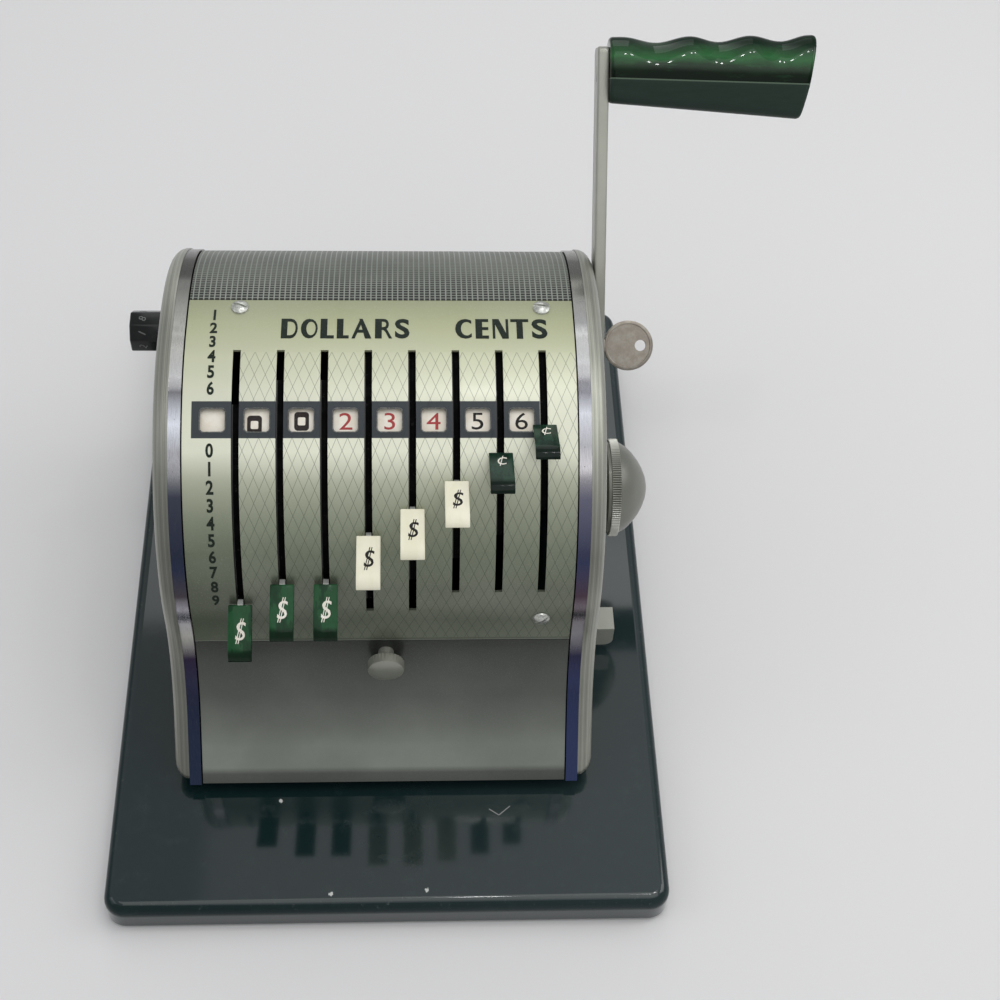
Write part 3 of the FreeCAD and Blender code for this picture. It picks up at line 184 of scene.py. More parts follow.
def rounded_loop(mesh, wide, tall, corner, lift):
    """A rounded rectangle of 32 points bent out of a circle; gives its edges."""
    made = bmesh.ops.create_circle(mesh, cap_ends=False, segments=32, radius=corner)
    for vert in made["verts"]:
        turn = math.atan2(vert.co.y, vert.co.x) + math.pi / 32
        across, up = math.cos(turn), math.sin(turn)
        x = corner * across + math.copysign(wide / 2 - corner, across)
        y = corner * up + math.copysign(tall / 2 - corner, up)
        vert.co = (x, y, lift)
    return list({edge for vert in made["verts"] for edge in vert.link_edges})


def ring(outer, inner, thick):
    """Bridge two rounded loops, each given as width, height, corner and lift, into a flat ring."""
    mesh = bmesh.new()
    edges = rounded_loop(mesh, *outer) + rounded_loop(mesh, *inner)
    thicken(mesh, bmesh.ops.bridge_loops(mesh, edges=edges)["faces"], (0, 0, thick))
    return mesh


def bevel(mesh, edges, width, segments):
    shape = {"profile": 0.5, "affect": "EDGES", "clamp_overlap": True, "material": -1}
    bmesh.ops.bevel(mesh, geom=edges, offset=width, segments=segments, **shape)


def soften(mesh, width, segments=2, limit=30):
    """Bevel the edges that are sharper than a limit."""
    mesh.normal_update()
    inner = [edge for edge in mesh.edges if len(edge.link_faces) == 2]
    sharp = [edge for edge in inner if edge.calc_face_angle() > math.radians(limit)]
    bevel(mesh, sharp, width, segments)


def cut_plane(mesh, point, normal):
    """Cut every face that a plane crosses."""
    everything = mesh.verts[:] + mesh.edges[:] + mesh.faces[:]
    bmesh.ops.bisect_plane(mesh, geom=everything, plane_co=point, plane_no=normal, dist=0.0001)


print("tools for meshes are ready")

# %% [markdown]
# A small class wraps a socket, so that Python's own signs add the Math nodes.  Each finish below
# is then a few lines of patterns that meet in the colour, the roughness and a bump.

# %% Sockets that can be added up
class Signal:
    """A socket of one finish, ready for sums."""

    def __init__(self, finish, socket):
        self.finish = finish
        self.socket = socket

    def do(self, operation, *others):
        """A Math node of the signal and what follows it."""
        return self.finish.math(operation, self, *others)

    def __add__(self, other):
        return self.do("ADD", other)

    def __sub__(self, other):
        return self.do("SUBTRACT", other)

    def __rsub__(self, other):
        return self.finish.math("SUBTRACT", other, self)

    def __mul__(self, other):
        return self.do("MULTIPLY", other)

    def __truediv__(self, other):
        return self.do("DIVIDE", other)

    __radd__ = __add__
    __rmul__ = __mul__

    def between(self, low, high, soft):
        """1 where the signal lies between two values, with a soft edge."""
        rise = self.fade(low - soft, low + soft)
        return rise * (1 - self.fade(high - soft, high + soft))

    def fade(self, start, end, low=0.0, high=1.0):
        """Smooth step from low at start to high at end."""
        settings = {"interpolation_type": "SMOOTHSTEP"}
        values = {"Value": self, "From Min": start, "From Max": end, "To Min": low, "To Max": high}
        return self.finish.node("ShaderNodeMapRange", settings, values)

    def wave(self, pitch):
        """Distance from the nearest line of a ruled pattern, 0 on it and 0.5 midway."""
        return 0.5 - ((self / pitch).do("FRACT") - 0.5).do("ABSOLUTE")


class Finish:
    """A material with its node tree, its place signals and its main shader."""

    def __init__(self, name, colour, rough, metal=0.0, **fixed):
        self.material = bpy.data.materials.new(name)
        self.material.use_nodes = True
        self.tree = self.material.node_tree
        self.shader = self.tree.nodes["Principled BSDF"]
        self.where = self.node("ShaderNodeTexCoord", out="Object")
        self.material.diffuse_color = (*colour, 1)
        self.set(Base_Color=(*colour, 1), Roughness=rough, Metallic=metal, **fixed)

    def node(self, kind, settings=None, values=None, out=0):
        made = self.tree.nodes.new(kind)
        for key, setting in (settings or {}).items():
            if key == "stops":
                self.fill_ramp(made.color_ramp, setting)
            else:
                setattr(made, key, setting)
        for key, value in (values or {}).items():
            self.feed(made.inputs[key], value)
        return Signal(self, made.outputs[out])

    def math(self, operation, *values):
        return self.node("ShaderNodeMath", {"operation": operation}, dict(enumerate(values)))

    def feed(self, socket, value):
        if isinstance(value, Signal):
            self.tree.links.new(value.socket, socket)
        else:
            socket.default_value = value

    def fill_ramp(self, ramp, stops):
        while len(ramp.elements) < len(stops):
            ramp.elements.new(1.0)
        for element, (place, colour) in zip(ramp.elements, stops):
            element.position = place
            element.color = (*colour, 1)

    def set(self, **sockets):
        """Feed the main shader: an underscore stands for a space in a socket's name."""
        for key, value in sockets.items():
            self.feed(self.shader.inputs[key.replace("_", " ")], value)

    def axes(self):
        """X, Y and Z of the surface point in millimetres."""
        split = self.node("ShaderNodeSeparateXYZ", None, {0: self.where}).socket.node
        return [Signal(self, split.outputs[i]) * 1000 for i in range(3)]

    def noise(self, size, detail=3.0, rough=0.5, stretch=(1, 1, 1)):
        """Cloudy pattern with features of about this many millimetres."""
        place = self.node("ShaderNodeMapping", None, {"Vector": self.where, "Scale": stretch})
        values = {"Vector": place, "Scale": 1000 / size, "Detail": detail, "Roughness": rough}
        return self.node("ShaderNodeTexNoise", None, values)

    def grains(self, size):
        """Distance from the heart of the nearest of many random grains."""
        return self.node("ShaderNodeTexVoronoi", None, {"Vector": self.where, "Scale": 1000 / size})

    def blend(self, mask, first, second):
        """Mix two colours: the first where the mask is 0, the second where it is 1."""
        pair = [tone if isinstance(tone, Signal) else (*tone, 1) for tone in (first, second)]
        values = {0: mask, 6: pair[0], 7: pair[1]}
        return self.node("ShaderNodeMix", {"data_type": "RGBA"}, values, out=2)

    def layers(self, tone, *coats):
        """Lay colours over a tone, each where its own mask is 1."""
        for mask, colour in coats:
            tone = self.blend(mask, tone, colour)
        return tone

    def ramp(self, signal, start, end, stops):
        """Ramp of rows of a place in the signal's unit, and then one shade or three colours."""
        long = end - start
        stops = [((at - start) / long, tone if len(tone) == 3 else tone * 3) for at, *tone in stops]
        return self.node("ShaderNodeValToRGB", {"stops": stops}, {0: (signal - start) / long})

    def shaded(self, colour, shade):
        """Multiply one colour by another."""
        settings = {"data_type": "RGBA", "blend_type": "MULTIPLY"}
        return self.node("ShaderNodeMix", settings, {0: 1.0, 6: colour, 7: shade}, out=2)

    def emboss(self, height, depth, strength):
        """Bump of a height signal, with its full height in millimetres."""
        values = {"Height": height, "Distance": depth * MM, "Strength": strength}
        return self.node("ShaderNodeBump", None, values)


def distance(first, second):
    """Length of the diagonal of two signals."""
    return (first * first + second * second).do("SQRT")


def scaled(colour, factor):
    return tuple(min(c * factor, 1.0) for c in colour)


def speckled(name, colour, rough, grain, fade, tones, sway, bump, metal=0.0, **fixed):
    """A plain finish, where one noise sways the tone, the roughness and a bump."""
    finish = Finish(name, colour, rough, metal, **fixed)
    noise = finish.noise(*grain)
    tone = finish.blend(noise.fade(*fade) if fade else noise, *tones)
    finish.set(Base_Color=tone, Roughness=sway[0] + noise * sway[1], Normal=finish.emboss(noise, *bump))
    return finish


def dress(finish, *names):
    """Give solids of the frame a finish in place of their plain colour."""
    for name in names:
        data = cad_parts[name].data
        data.materials.clear()
        data.materials.append(finish.material)


print("sums and finishes are ready")

# %% [markdown]
# Lettering starts as a text object.  It is made a mesh, cut into narrow bands so that it can bend,
# and wrapped over the drum.  The letters are plain: headings, numerals and money signs only.

# %% Letters as mesh
PRINT_WELD = 0.0005
BAND_STEP = 1.5


def letters(text, height, thick, fat=0.0, lean=0.0, wide=1.0):
    """A bmesh of centred text in the XY plane, in millimetres, with its face towards +Z."""
    curve = bpy.data.curves.new("letters", "FONT")
    curve.body = text
    curve.size = 1.0
    curve.align_x = "CENTER"
    curve.offset = fat
    curve.shear = lean
    curve.resolution_u = 4
    holder = put("letters", curve)
    data = baked(holder)
    mesh = bmesh.new()
    mesh.from_mesh(data)
    bpy.data.objects.remove(holder)
    bpy.data.curves.remove(curve)
    bpy.data.meshes.remove(data)
    high = max(v.co.y for v in mesh.verts)
    low = min(v.co.y for v in mesh.verts)
    size = height / (high - low)
    shift(mesh, (0, -(high + low) / 2, 0))
    bmesh.ops.scale(mesh, verts=mesh.verts, vec=(size * wide, size, 1))
    bmesh.ops.remove_doubles(mesh, verts=mesh.verts, dist=0.001)
    thicken(mesh, mesh.faces[:], (0, 0, thick))
    return mesh


def cut_bands(mesh):
    """Cut a mesh across Y at even steps, so that it can follow a curve."""
    high = max(v.co.y for v in mesh.verts)
    level = -BAND_STEP * math.floor(high / BAND_STEP)
    while level < high:
        cut_plane(mesh, (0, level, 0), (0, 1, 0))
        level += BAND_STEP


def wrap_on_face(mesh, x, down):
    """Wrap a flat mesh over the face: its Y runs up the face and its Z stands off the metal."""
    cut_bands(mesh)
    for vert in mesh.verts:
        y, z = face_place(down - vert.co.y, vert.co.z)
        vert.co = (x + vert.co.x, y, z)


print("letters are ready")

# %% [markdown]
# The faceplate has a sage metallic lacquer with painted light down it: a painted highlight across
# the middle, painted shade above and deeper painted shade low down.  Over it lie a printed lattice of
# diamonds and a black strip round the windows.  The print and the painted light live in the material.

# %% Faceplate lacquer
DOWN_SPAN = (-25, 175)
SIDE_START, SIDE_END = 60, 61


def down_face(y, z):
    """The distance down the face, as a signal in millimetres."""
    front = (math.pi / 2 - (z - AXIS_Z).do("ARCTAN2", AXIS_Y - y)) * DRUM
    past = (y - AXIS_Y).do("MAXIMUM", 0.0)
    on_top = y.fade(AXIS_Y - 0.01, AXIS_Y + 0.01)
    return front * (1 - on_top) - past * on_top


def sided(finish, x, down, left, right):
    """Two ramps of painted light and shade down the face, one for each side of the machine."""
    ramps = [finish.ramp(down, *DOWN_SPAN, stops) for stops in (left, right)]
    return finish.blend(x.fade(SIDE_START, SIDE_END), *ramps)


olive = Finish("sage_lacquer", (0.30, 0.33, 0.24), 0.36, 0.45, Coat_Roughness=0.14)
x, y, z = olive.axes()
down = down_face(y, z)
# the lacquer's sage down the face with painted light: a painted highlight across the middle, painted shade
# above it and deeper painted shade low down
FACE_TONES_AND_PAINTED_LIGHT = (
    (-15, 0.24, 0.26, 0.15), (0, 0.38, 0.40, 0.24), (14, 0.58, 0.60, 0.42), (30, 0.56, 0.57, 0.45),
    (50, 0.71, 0.72, 0.58), (60, 0.45, 0.47, 0.35), (74, 0.26, 0.29, 0.20), (88, 0.13, 0.16, 0.10),
    (104, 0.075, 0.09, 0.057), (124, 0.11, 0.13, 0.09),
)
cloud = olive.noise(38, 4)
fleck = olive.noise(0.35, 2)
LATTICE_WIDE, LATTICE_TALL = LEVER_PITCH / 4, 9.5
LATTICE_X, LATTICE_DOWN = lever_x(1) + 2.6, 11.45
LATTICE_TOP, LATTICE_BOTTOM, LATTICE_RIGHT = 11.6, FRONT_END + 9.6, 72.0
across = (x - LATTICE_X) / LATTICE_WIDE
along = (down - LATTICE_DOWN) / LATTICE_TALL
nearest = (across + along).wave(1.0).do("MINIMUM", (across - along).wave(1.0))
line = 1 - nearest.fade(0.012, 0.034)
printed = x.between(lever_x(1) - 1.0, LATTICE_RIGHT, 0.1) * down.between(LATTICE_TOP, LATTICE_BOTTOM, 0.1)
SEAM = FRONT_END + FLARE * math.radians(SEAM_ANGLE)
STRIP_LEFT, STRIP_RIGHT, STRIP_TOP, STRIP_BOTTOM = -67.8, 57.4, drum_down(67.0), drum_down(57.0)
strip = x.between(STRIP_LEFT, STRIP_RIGHT, 0.08) * down.between(STRIP_TOP, STRIP_BOTTOM, 0.08)
lacquer = olive.layers(
    olive.ramp(down, *DOWN_SPAN, FACE_TONES_AND_PAINTED_LIGHT),
    ((cloud - 0.5).fade(-0.25, 0.3, 0.0, 0.16), (0.42, 0.43, 0.37)),
    (fleck.fade(0.55, 0.75, 0.0, 0.16), (0.62, 0.64, 0.54)),
    (printed * 0.10, (0.70, 0.72, 0.60)),
    (line * printed * 0.62, (0.045, 0.062, 0.040)),
    # a painted highlight along the faceplate's lower edge at the seam
    (down.between(SEAM - 0.5, FRONT_END + 20, 0.08) * 0.45, (0.45, 0.47, 0.44)),
    (strip, (0.019, 0.027, 0.033)),
)
scuff = olive.noise(6, 6, 0.7, (1, 0.3, 0.3)).fade(0.60, 0.68)
olive.set(
    Base_Color=lacquer,
    Roughness=0.36 + scuff * 0.12 + line * printed * 0.15 + strip * 0.15 + fleck * 0.06,
    Metallic=(1 - strip) * 0.45,
    Coat_Weight=(1 - strip) * 0.25,
    Normal=olive.emboss(fleck, 0.01, 0.5),
)
dress(olive, "faceplate")
print("lattice of", round(LATTICE_WIDE, 2), "by", LATTICE_TALL, "mm")

# %% [markdown]
# The cheeks, arm, dome and lower panel share one hammered paint: soft pebbles under a satin coat,
# fine flakes and darker worn patches.  Fine beads beside the trim are a bump drawn from X alone, each
# with a painted shade in its groove and a painted highlight beside it.  The cheeks and the lower
# panel carry painted light and shade down the face, and the dome's knurl crests a painted highlight.

# %% Silver hammered paint
# painted light and shade down each cheek, the left more in shade than the right
CHEEK_LEFT_PAINTED_LIGHT = (
    (-20, 0.69), (0, 0.56), (24, 0.60), (48, 0.52), (75, 0.39), (104, 0.26), (130, 0.44), (145, 0.36),
    (160, 0.33),
)
CHEEK_RIGHT_PAINTED_LIGHT = ((-20, 0.59), (12, 0.78), (38, 0.97), (60, 0.77), (90, 0.42), (112, 0.54), (160, 0.57))
PANEL_LOW, PANEL_HIGH = 15, 80
# painted light and shade up the lower panel by height: shade at the foot, a painted highlight just above it and
# deepening shade towards the top
PANEL_PAINTED_LIGHT = ((18, 0.25), (24, 0.38), (26, 0.97), (33, 0.94), (40, 0.66), (50, 0.43), (62, 0.31), (75, 0.20))
BEAD_LINES = (77.1, 79.0)
RIM_START, RIM_END = 80.2, 81.4
KNURL_FOOT, KNURL_TOP = 19.1, 19.5


def hammered(name, colour, dark, beads=False, panel=False, knurl_highlight=False):
    """Grey hammered paint, with beads and painted light for the castings, painted light for the panel, or
    painted knurl highlights for the dome.
    """
    finish = Finish(name, colour, 0.38, 0.5, Coat_Weight=0.25, Coat_Roughness=0.15)
    x, y, z = finish.axes()
    flake = finish.grains(0.30)
    pebble = finish.noise(1.1, 2, 0.45)
    tone = finish.blend(finish.noise(30, 4).fade(0.3, 0.7), dark, colour)
    if panel:
        # painted light and shade up the lower panel
        tone = finish.shaded(tone, finish.ramp(z, PANEL_LOW, PANEL_HIGH, PANEL_PAINTED_LIGHT))
    tone = finish.blend(flake.fade(0.28, 0.05, 0.0, 0.30), tone, scaled(colour, 1.6))
    wear = finish.noise(5, 7, 0.72).fade(0.66, 0.74)
    tone = finish.blend(wear * 0.22, tone, scaled(colour, 0.5))
    height = pebble
    if knurl_highlight:
        radius = distance(y - HANDLE_Y, z - HANDLE_Z)
        # the knurl crests are painted lighter, a painted highlight
        tone = finish.blend(radius.fade(KNURL_FOOT, KNURL_TOP), tone, (0.55, 0.555, 0.50))
    if beads:
        side = x.do("ABSOLUTE")
        for place in BEAD_LINES:
            # each bead's groove is painted darker, a painted shade, and a line just beside it lighter, a
            # painted highlight
            bead_and_shade = (side - place).do("ABSOLUTE").fade(0.28, 0.0)
            height = height - bead_and_shade * 2.2
            tone = finish.blend(bead_and_shade * 0.35, tone, scaled(colour, 0.35))
            bead_highlight = (side - place - 0.9).do("ABSOLUTE").fade(0.3, 0.0)
            tone = finish.blend(bead_highlight * 0.30, tone, scaled(colour, 1.8))
        # painted light and shade down the face, one ramp for each cheek, and an even painted shade on the outer
        # faces past the rim
        shade = sided(finish, x, down_face(y, z), CHEEK_LEFT_PAINTED_LIGHT, CHEEK_RIGHT_PAINTED_LIGHT)
        shade = finish.blend(side.fade(RIM_START, RIM_END), shade, (0.62, 0.62, 0.62))
        tone = finish.shaded(tone, shade)
    finish.set(
        Base_Color=tone,
        Roughness=0.34 + pebble * 0.10 + wear * 0.1,
        Normal=finish.emboss(height, 0.05, 0.55),
    )
    return finish


cheek_paint = hammered("cheek_paint", (0.50, 0.508, 0.435), (0.40, 0.41, 0.35), beads=True)
panel_paint = hammered("panel_paint", (0.28, 0.302, 0.263), (0.229, 0.248, 0.216), panel=True)
fitting_paint = hammered("fitting_paint", (0.32, 0.325, 0.28), (0.27, 0.275, 0.235))
dome_paint = hammered("dome_paint", (0.20, 0.205, 0.175), (0.165, 0.168, 0.145), knurl_highlight=True)
tab_paint = hammered("tab_paint", (0.50, 0.505, 0.445), (0.43, 0.435, 0.385))
dress(cheek_paint, "cheek_left", "cheek_right", "cheek_screws")
dress(panel_paint, "lower_panel")
print("five hammered paints")

# %% [markdown]
# The cover is pressed into a mesh too tight to model: thin ribs over the drum, finer bars across
# them and a pit between.  It is a bump with painted shade in the pits, also down the back, where the
# shade is fainter.

# %% Embossed cover
cover = Finish("embossed_cover", (0.17, 0.185, 0.16), 0.42, 0.4, Coat_Weight=0.15, Coat_Roughness=0.2)
x, y, z = cover.axes()
rise = (z - AXIS_Z).do("MAXIMUM", 0.0)
rear_turn = (y - AXIS_Y - FLAT).do("ARCTAN2", rise)
rear_down = rear_turn * DRUM + (AXIS_Z - z).do("MAXIMUM", 0.0)
GRID, ROW = 2.0, 1.5
rib = 1 - x.wave(GRID).fade(0.08, 0.16)
bar = 1 - (rear_down + 0.2).wave(ROW).fade(0.12, 0.22)
raised = rib.do("MAXIMUM", bar * 0.8)
back_fade = rear_down.fade(8, 30, 0.0, 0.6)
tone = cover.layers(
    (0.15, 0.165, 0.14),
    (cover.noise(25, 4).fade(0.3, 0.7), (0.21, 0.225, 0.19)),
    (rib * 0.8, (0.25, 0.27, 0.24)),
    # painted shade in the pits between ribs and bars, fainter down the back
    ((1 - rib) * (1 - bar) * (1 - back_fade), (0.006, 0.009, 0.007)),
    (cover.noise(1.4, 5).fade(0.62, 0.75, 0.0, 0.3), (0.30, 0.31, 0.28)),
)
cover.set(Base_Color=tone, Roughness=0.52 - raised * 0.14, Normal=cover.emboss(raised, 0.22, 0.8))
dress(cover, "top_cover")
print("grid of", GRID, "by", ROW, "mm")

# %% [markdown]
# The trims' plating carries painted reflections down each strip: dark over the top, bright where
# the front turns down, then dark blue bands and a pale band low down, where the plating is also made
# dull.  Fine scratches run along the strip.

# %% Bright plating
chrome = Finish("bright_plate", (0.60, 0.60, 0.60), 0.16, 1.0)
x, y, z = chrome.axes()
down = down_face(y, z)
TRIM_LEFT_PAINTED_REFLECTIONS = (
    # painted reflections: dark over the top, then bright where the front turns down
    (-20, 0.12, 0.12, 0.11), (2, 0.30, 0.30, 0.28), (10, 0.75, 0.74, 0.70), (22, 0.75, 0.75, 0.75),
    # a painted dark band and a painted brighter stretch beside the windows
    (28, 0.13, 0.13, 0.14), (40, 0.50, 0.52, 0.57), (50, 0.29, 0.29, 0.31), (58, 0.38, 0.38, 0.40),
    # painted dark blue bands, a painted pale band, and dark blue again at the foot
    (66, 0.08, 0.09, 0.13), (94, 0.03, 0.04, 0.08), (107, 0.07, 0.06, 0.07), (118, 0.64, 0.62, 0.69),
    (130, 0.57, 0.56, 0.51), (141, 0.03, 0.02, 0.05), (160, 0.03, 0.045, 0.09),
)
# the right strip's painted reflections, in the same order
TRIM_RIGHT_PAINTED_REFLECTIONS = (
    (-20, 0.18, 0.18, 0.16), (-2, 0.25, 0.25, 0.25), (8, 0.70, 0.70, 0.69), (16, 0.75, 0.75, 0.75),
    (24, 0.12, 0.12, 0.13), (28, 0.09, 0.09, 0.10), (36, 0.48, 0.49, 0.53), (48, 0.32, 0.32, 0.34),
    (58, 0.54, 0.52, 0.54), (67, 0.23, 0.23, 0.32), (92, 0.05, 0.06, 0.13), (108, 0.08, 0.05, 0.07),
    (118, 0.31, 0.27, 0.30), (130, 0.30, 0.29, 0.31), (141, 0.03, 0.03, 0.07),
    (160, 0.05, 0.07, 0.17),
)
streak = chrome.noise(0.9, 5, 0.65, (6, 0.25, 0.25))
# under the pale painted reflection low down the plating is duller and less metallic
dull_band = down.between(121, 138, 3)
pit = chrome.grains(2.6).fade(0.10, 0.04) * chrome.noise(14, 3).fade(0.52, 0.62)
tone = chrome.layers(
    sided(chrome, x, down, TRIM_LEFT_PAINTED_REFLECTIONS, TRIM_RIGHT_PAINTED_REFLECTIONS),
    (streak.fade(0.40, 0.75, 0.0, 0.3), (0.10, 0.10, 0.12)),
    (pit * 0.7, (0.10, 0.09, 0.08)),
)
chrome.set(
    Base_Color=tone,
    Metallic=1 - dull_band * 0.8,
    Roughness=0.15 + streak.fade(0.4, 0.8) * 0.20 + pit * 0.4 + dull_band * 0.15,
    Normal=chrome.emboss(streak, 0.008, 0.4),
)
dress(chrome, "trim_left", "trim_right")
print("plating done")

# %% [markdown]
# The base is a deep green-black enamel under a clear coat, thinner on the rolled edge.  Life comes
# from faint orange peel, dust, chips that show pale primer and one scratch of two strokes.

# %% Base enamel
CHIPS = ((-40.9, -111.3), (16.4, -150.2), (-20.2, -151.2))
SCRATCH = ((41.2, -115.9), (45.0, -118.6), (49.5, -114.7))
enamel = Finish("base_enamel", (0.010, 0.019, 0.018), 0.12, Coat_Roughness=0.07, Specular_IOR_Level=0.12)
x, y, z = enamel.axes()
peel = enamel.noise(2.4, 2, 0.4)
dust = enamel.noise(7, 6, 0.7).fade(0.5, 0.75)
ragged = enamel.noise(0.8, 3) * 1.6
marks = [(distance(x - x_at, y - y_at) + ragged).fade(1.75, 1.55) for x_at, y_at in CHIPS]
for (x_at, y_at), (x_to, y_to) in zip(SCRATCH, SCRATCH[1:]):
    long = math.hypot(x_to - x_at, y_to - y_at)
    run, rise = (x_to - x_at) / long, (y_to - y_at) / long
    beside = ((x - x_at) * rise - (y - y_at) * run).do("ABSOLUTE")
    ahead = (x - x_at) * run + (y - y_at) * rise
    marks.append(ahead.between(0, long, 0.2) * beside.fade(0.26, 0.10) * 0.5)
chip = marks[0]
for mark in marks[1:]:
    chip = chip.do("MAXIMUM", mark)
rub = enamel.noise(3, 7, 0.75).fade(0.58, 0.68) * (z.fade(11.0, 14.0) * (1 - z.fade(14.6, 14.98)))
rolled = z.fade(8.8, 10.2) * (1 - z.fade(14.3, 14.8))
tone = enamel.layers(
    (0.006, 0.017, 0.018),
    (dust * 0.30, (0.024, 0.042, 0.042)),
    # lighter towards the right, a painted reflection
    (x.fade(-60, 110, 0.0, 0.22), (0.045, 0.062, 0.064)),
    (rub * 0.45, (0.10, 0.12, 0.11)),
    (chip, (0.55, 0.56, 0.54)),
)
enamel.set(
    Base_Color=tone,
    Roughness=0.08 + dust * 0.12 + chip * 0.4,
    Coat_Weight=(1 - rolled * 0.85) * (1 - chip),
    Normal=enamel.emboss(peel, 0.012, 0.25),
)
dress(enamel, "base_pan")
print(len(CHIPS), "chips and one scratch in the enamel")

# %% [markdown]
# Inside, the shafts and brackets are oiled steel with a brushed grain.  The levers and the side
# plates are blued and kept nearly black, a painted shade where they are seen through the slots and
# beside the face, and only the levers' ends, past the drum's rim, are rubbed bare.

# %% Inside metal and rubber
steel = Finish("plain_steel", (0.42, 0.42, 0.41), 0.4, 1.0)
grain = steel.noise(0.8, 5, 0.6, (0.15, 1, 1))
oil = steel.noise(9, 4)
tone = steel.layers(
    (0.30, 0.30, 0.29),
    (grain.fade(0.3, 0.7), (0.48, 0.48, 0.47)),
    (oil.fade(0.55, 0.75, 0.0, 0.4), (0.22, 0.19, 0.15)),
)
steel.set(Base_Color=tone, Roughness=0.30 + grain * 0.25, Normal=steel.emboss(grain, 0.01, 0.4))
dress(steel, "face_rail", "tie_rods", "lever_shaft", "base_screws", "bottom_cover", "detent_comb")
dress(steel, "handle_shaft", "handle_crank", "return_spring", "platen", "ink_carriage", "prefix_shaft_rod")

# blued steel kept nearly black: a painted shade for parts seen only through the slots and the gap beside the
# face
blued_shade = Finish("blued_steel", (0.018, 0.018, 0.02), 0.42, Specular_IOR_Level=0.02)
x, y, z = blued_shade.axes()
film = blued_shade.noise(6, 5)
PLATE_INNER = 69
rim = distance(y - AXIS_Y, z - AXIS_Z).fade(DRUM - 0.6, DRUM)
bare = rim * (x.do("ABSOLUTE") - PLATE_INNER).fade(0.2, 0.0)
tone = blued_shade.layers(
    (0.002, 0.002, 0.002),
    (film.fade(0.45, 0.7), (0.005, 0.005, 0.005)),
    (blued_shade.noise(1.2, 4).fade(0.62, 0.7, 0.0, 0.15), (0.08, 0.08, 0.08)),
    (bare, (0.62, 0.63, 0.60)),
)
blued_shade.set(
    Base_Color=tone,
    Metallic=bare * 0.7,
    Roughness=0.44 + film * 0.2 - bare * 0.1,
    Normal=blued_shade.emboss(film, 0.02, 0.4),
)
dress(blued_shade, "side_plate_left", "side_plate_right", *[f"lever_sector_{column}" for column in COLUMNS])

rubber = speckled(
    "foot_rubber", (0.028, 0.028, 0.028), 0.8, grain=(0.8, 4), fade=None,
    tones=((0.02, 0.02, 0.02), (0.05, 0.05, 0.048)), sway=(0.70, 0.2), bump=(0.05, 0.6),
)
dress(rubber, "rubber_feet", "ink_roll")
print("steel, blued steel and rubber")

# %% [markdown]
# Cream bands roll behind the windows, with printed numerals: red for the dollars, black for the
# cents and a fat square nought.  Each is a thin mesh, wrapped on its band at its own step.

# %% Digit bands
cream = Finish("cream_enamel", (0.72, 0.68, 0.60), 0.35, Coat_Weight=0.3)
BAND_HALF = 5.25
x = cream.axes()[0]
age = cream.noise(5, 5)
from_centre = (x - lever_x(1) + WINDOW_SHIFT).wave(LEVER_PITCH) * LEVER_PITCH
tone = cream.layers(
    (0.82, 0.75, 0.62),
    (age.fade(0.35, 0.7), (0.93, 0.88, 0.77)),
    # outside the window's width the band is painted black, a painted shade seen through the slot
    (from_centre.fade(BAND_HALF, BAND_HALF + 0.25), (0.010, 0.010, 0.010)),
)
cream.set(Base_Color=tone, Roughness=0.30 + age * 0.15, Normal=cream.emboss(age, 0.02, 0.4))


def ink(name, colour, rough=0.45):
    """Printing ink: a solid tone that is a little thin and worn in places."""
    pale = tuple(min(c * 1.5 + 0.02, 1) for c in colour)
    return speckled(
        name, colour, rough, grain=(0.9, 4), fade=(0.5, 0.75, 0.0, 0.6), tones=(colour, pale),
        sway=(rough, 0.1), bump=(0.01, 0.3), Specular_IOR_Level=0.15,
    )


red_ink = ink("red_ink", (0.42, 0.060, 0.062))
black_ink = ink("black_ink", (0.020, 0.018, 0.016))
sepia_ink = ink("sepia_ink", (0.032, 0.025, 0.023))
green_ink = ink("green_ink", (0.012, 0.019, 0.013))
white_ink = ink("white_ink", (0.80, 0.76, 0.66), 0.35)
grey_ink = ink("grey_ink", (0.16, 0.165, 0.16))
BAND, DIGIT_TALL, DIGIT_WIDE = 75.5, 6.2, 1.22
PRINT_THICK = 0.06
# one band is printed a degree low, and its nought sits a little to the left
LOW_COLUMN, LOW_BY = 2, -1.0
NOUGHT = ((5.3, 6.9, 1.3, 0.0), (2.75, 3.0, 0.5, 0.0), PRINT_THICK)


def on_band(mesh, x, angle):
    """Wrap a flat mesh on the digit band, at an angle up from the front of the drum."""
    cut_bands(mesh)
    for vert in mesh.verts:
        turn = math.radians(angle) + vert.co.y / BAND
        reach = BAND + vert.co.z
        vert.co = (x + vert.co.x, AXIS_Y - reach * math.cos(turn), AXIS_Z + reach * math.sin(turn))


for column in COLUMNS:
    dress(cream, f"digit_band_{column}")
    printed_digits, noughts = bmesh.new(), bmesh.new()
    centre = lever_x(column) - WINDOW_SHIFT
    slip = LOW_BY if column == LOW_COLUMN else 0.0
    for digit in range(10):
        angle = WINDOW_ANGLE - DIGIT_ANGLE * (digit + 1 - REST_STEPS[column - 1]) + slip
        if digit == 0 and column < 7:
            part = ring(*NOUGHT)
            on_band(part, centre + slip, angle)
            join(noughts, part)
            continue
        part = letters(str(digit), DIGIT_TALL, PRINT_THICK, wide=DIGIT_WIDE)
        on_band(part, centre, angle)
        join(printed_digits, part)
    digit_ink = red_ink if column < 7 else black_ink
    band = (f"lever_{column}", "cream_band")
    make_piece(f"digits_{column}", printed_digits, digit_ink, *band, weld=PRINT_WELD)
    if column < 7:
        make_piece(f"nought_{column}", noughts, sepia_ink, *band, weld=PRINT_WELD)
print("numerals on eight bands")

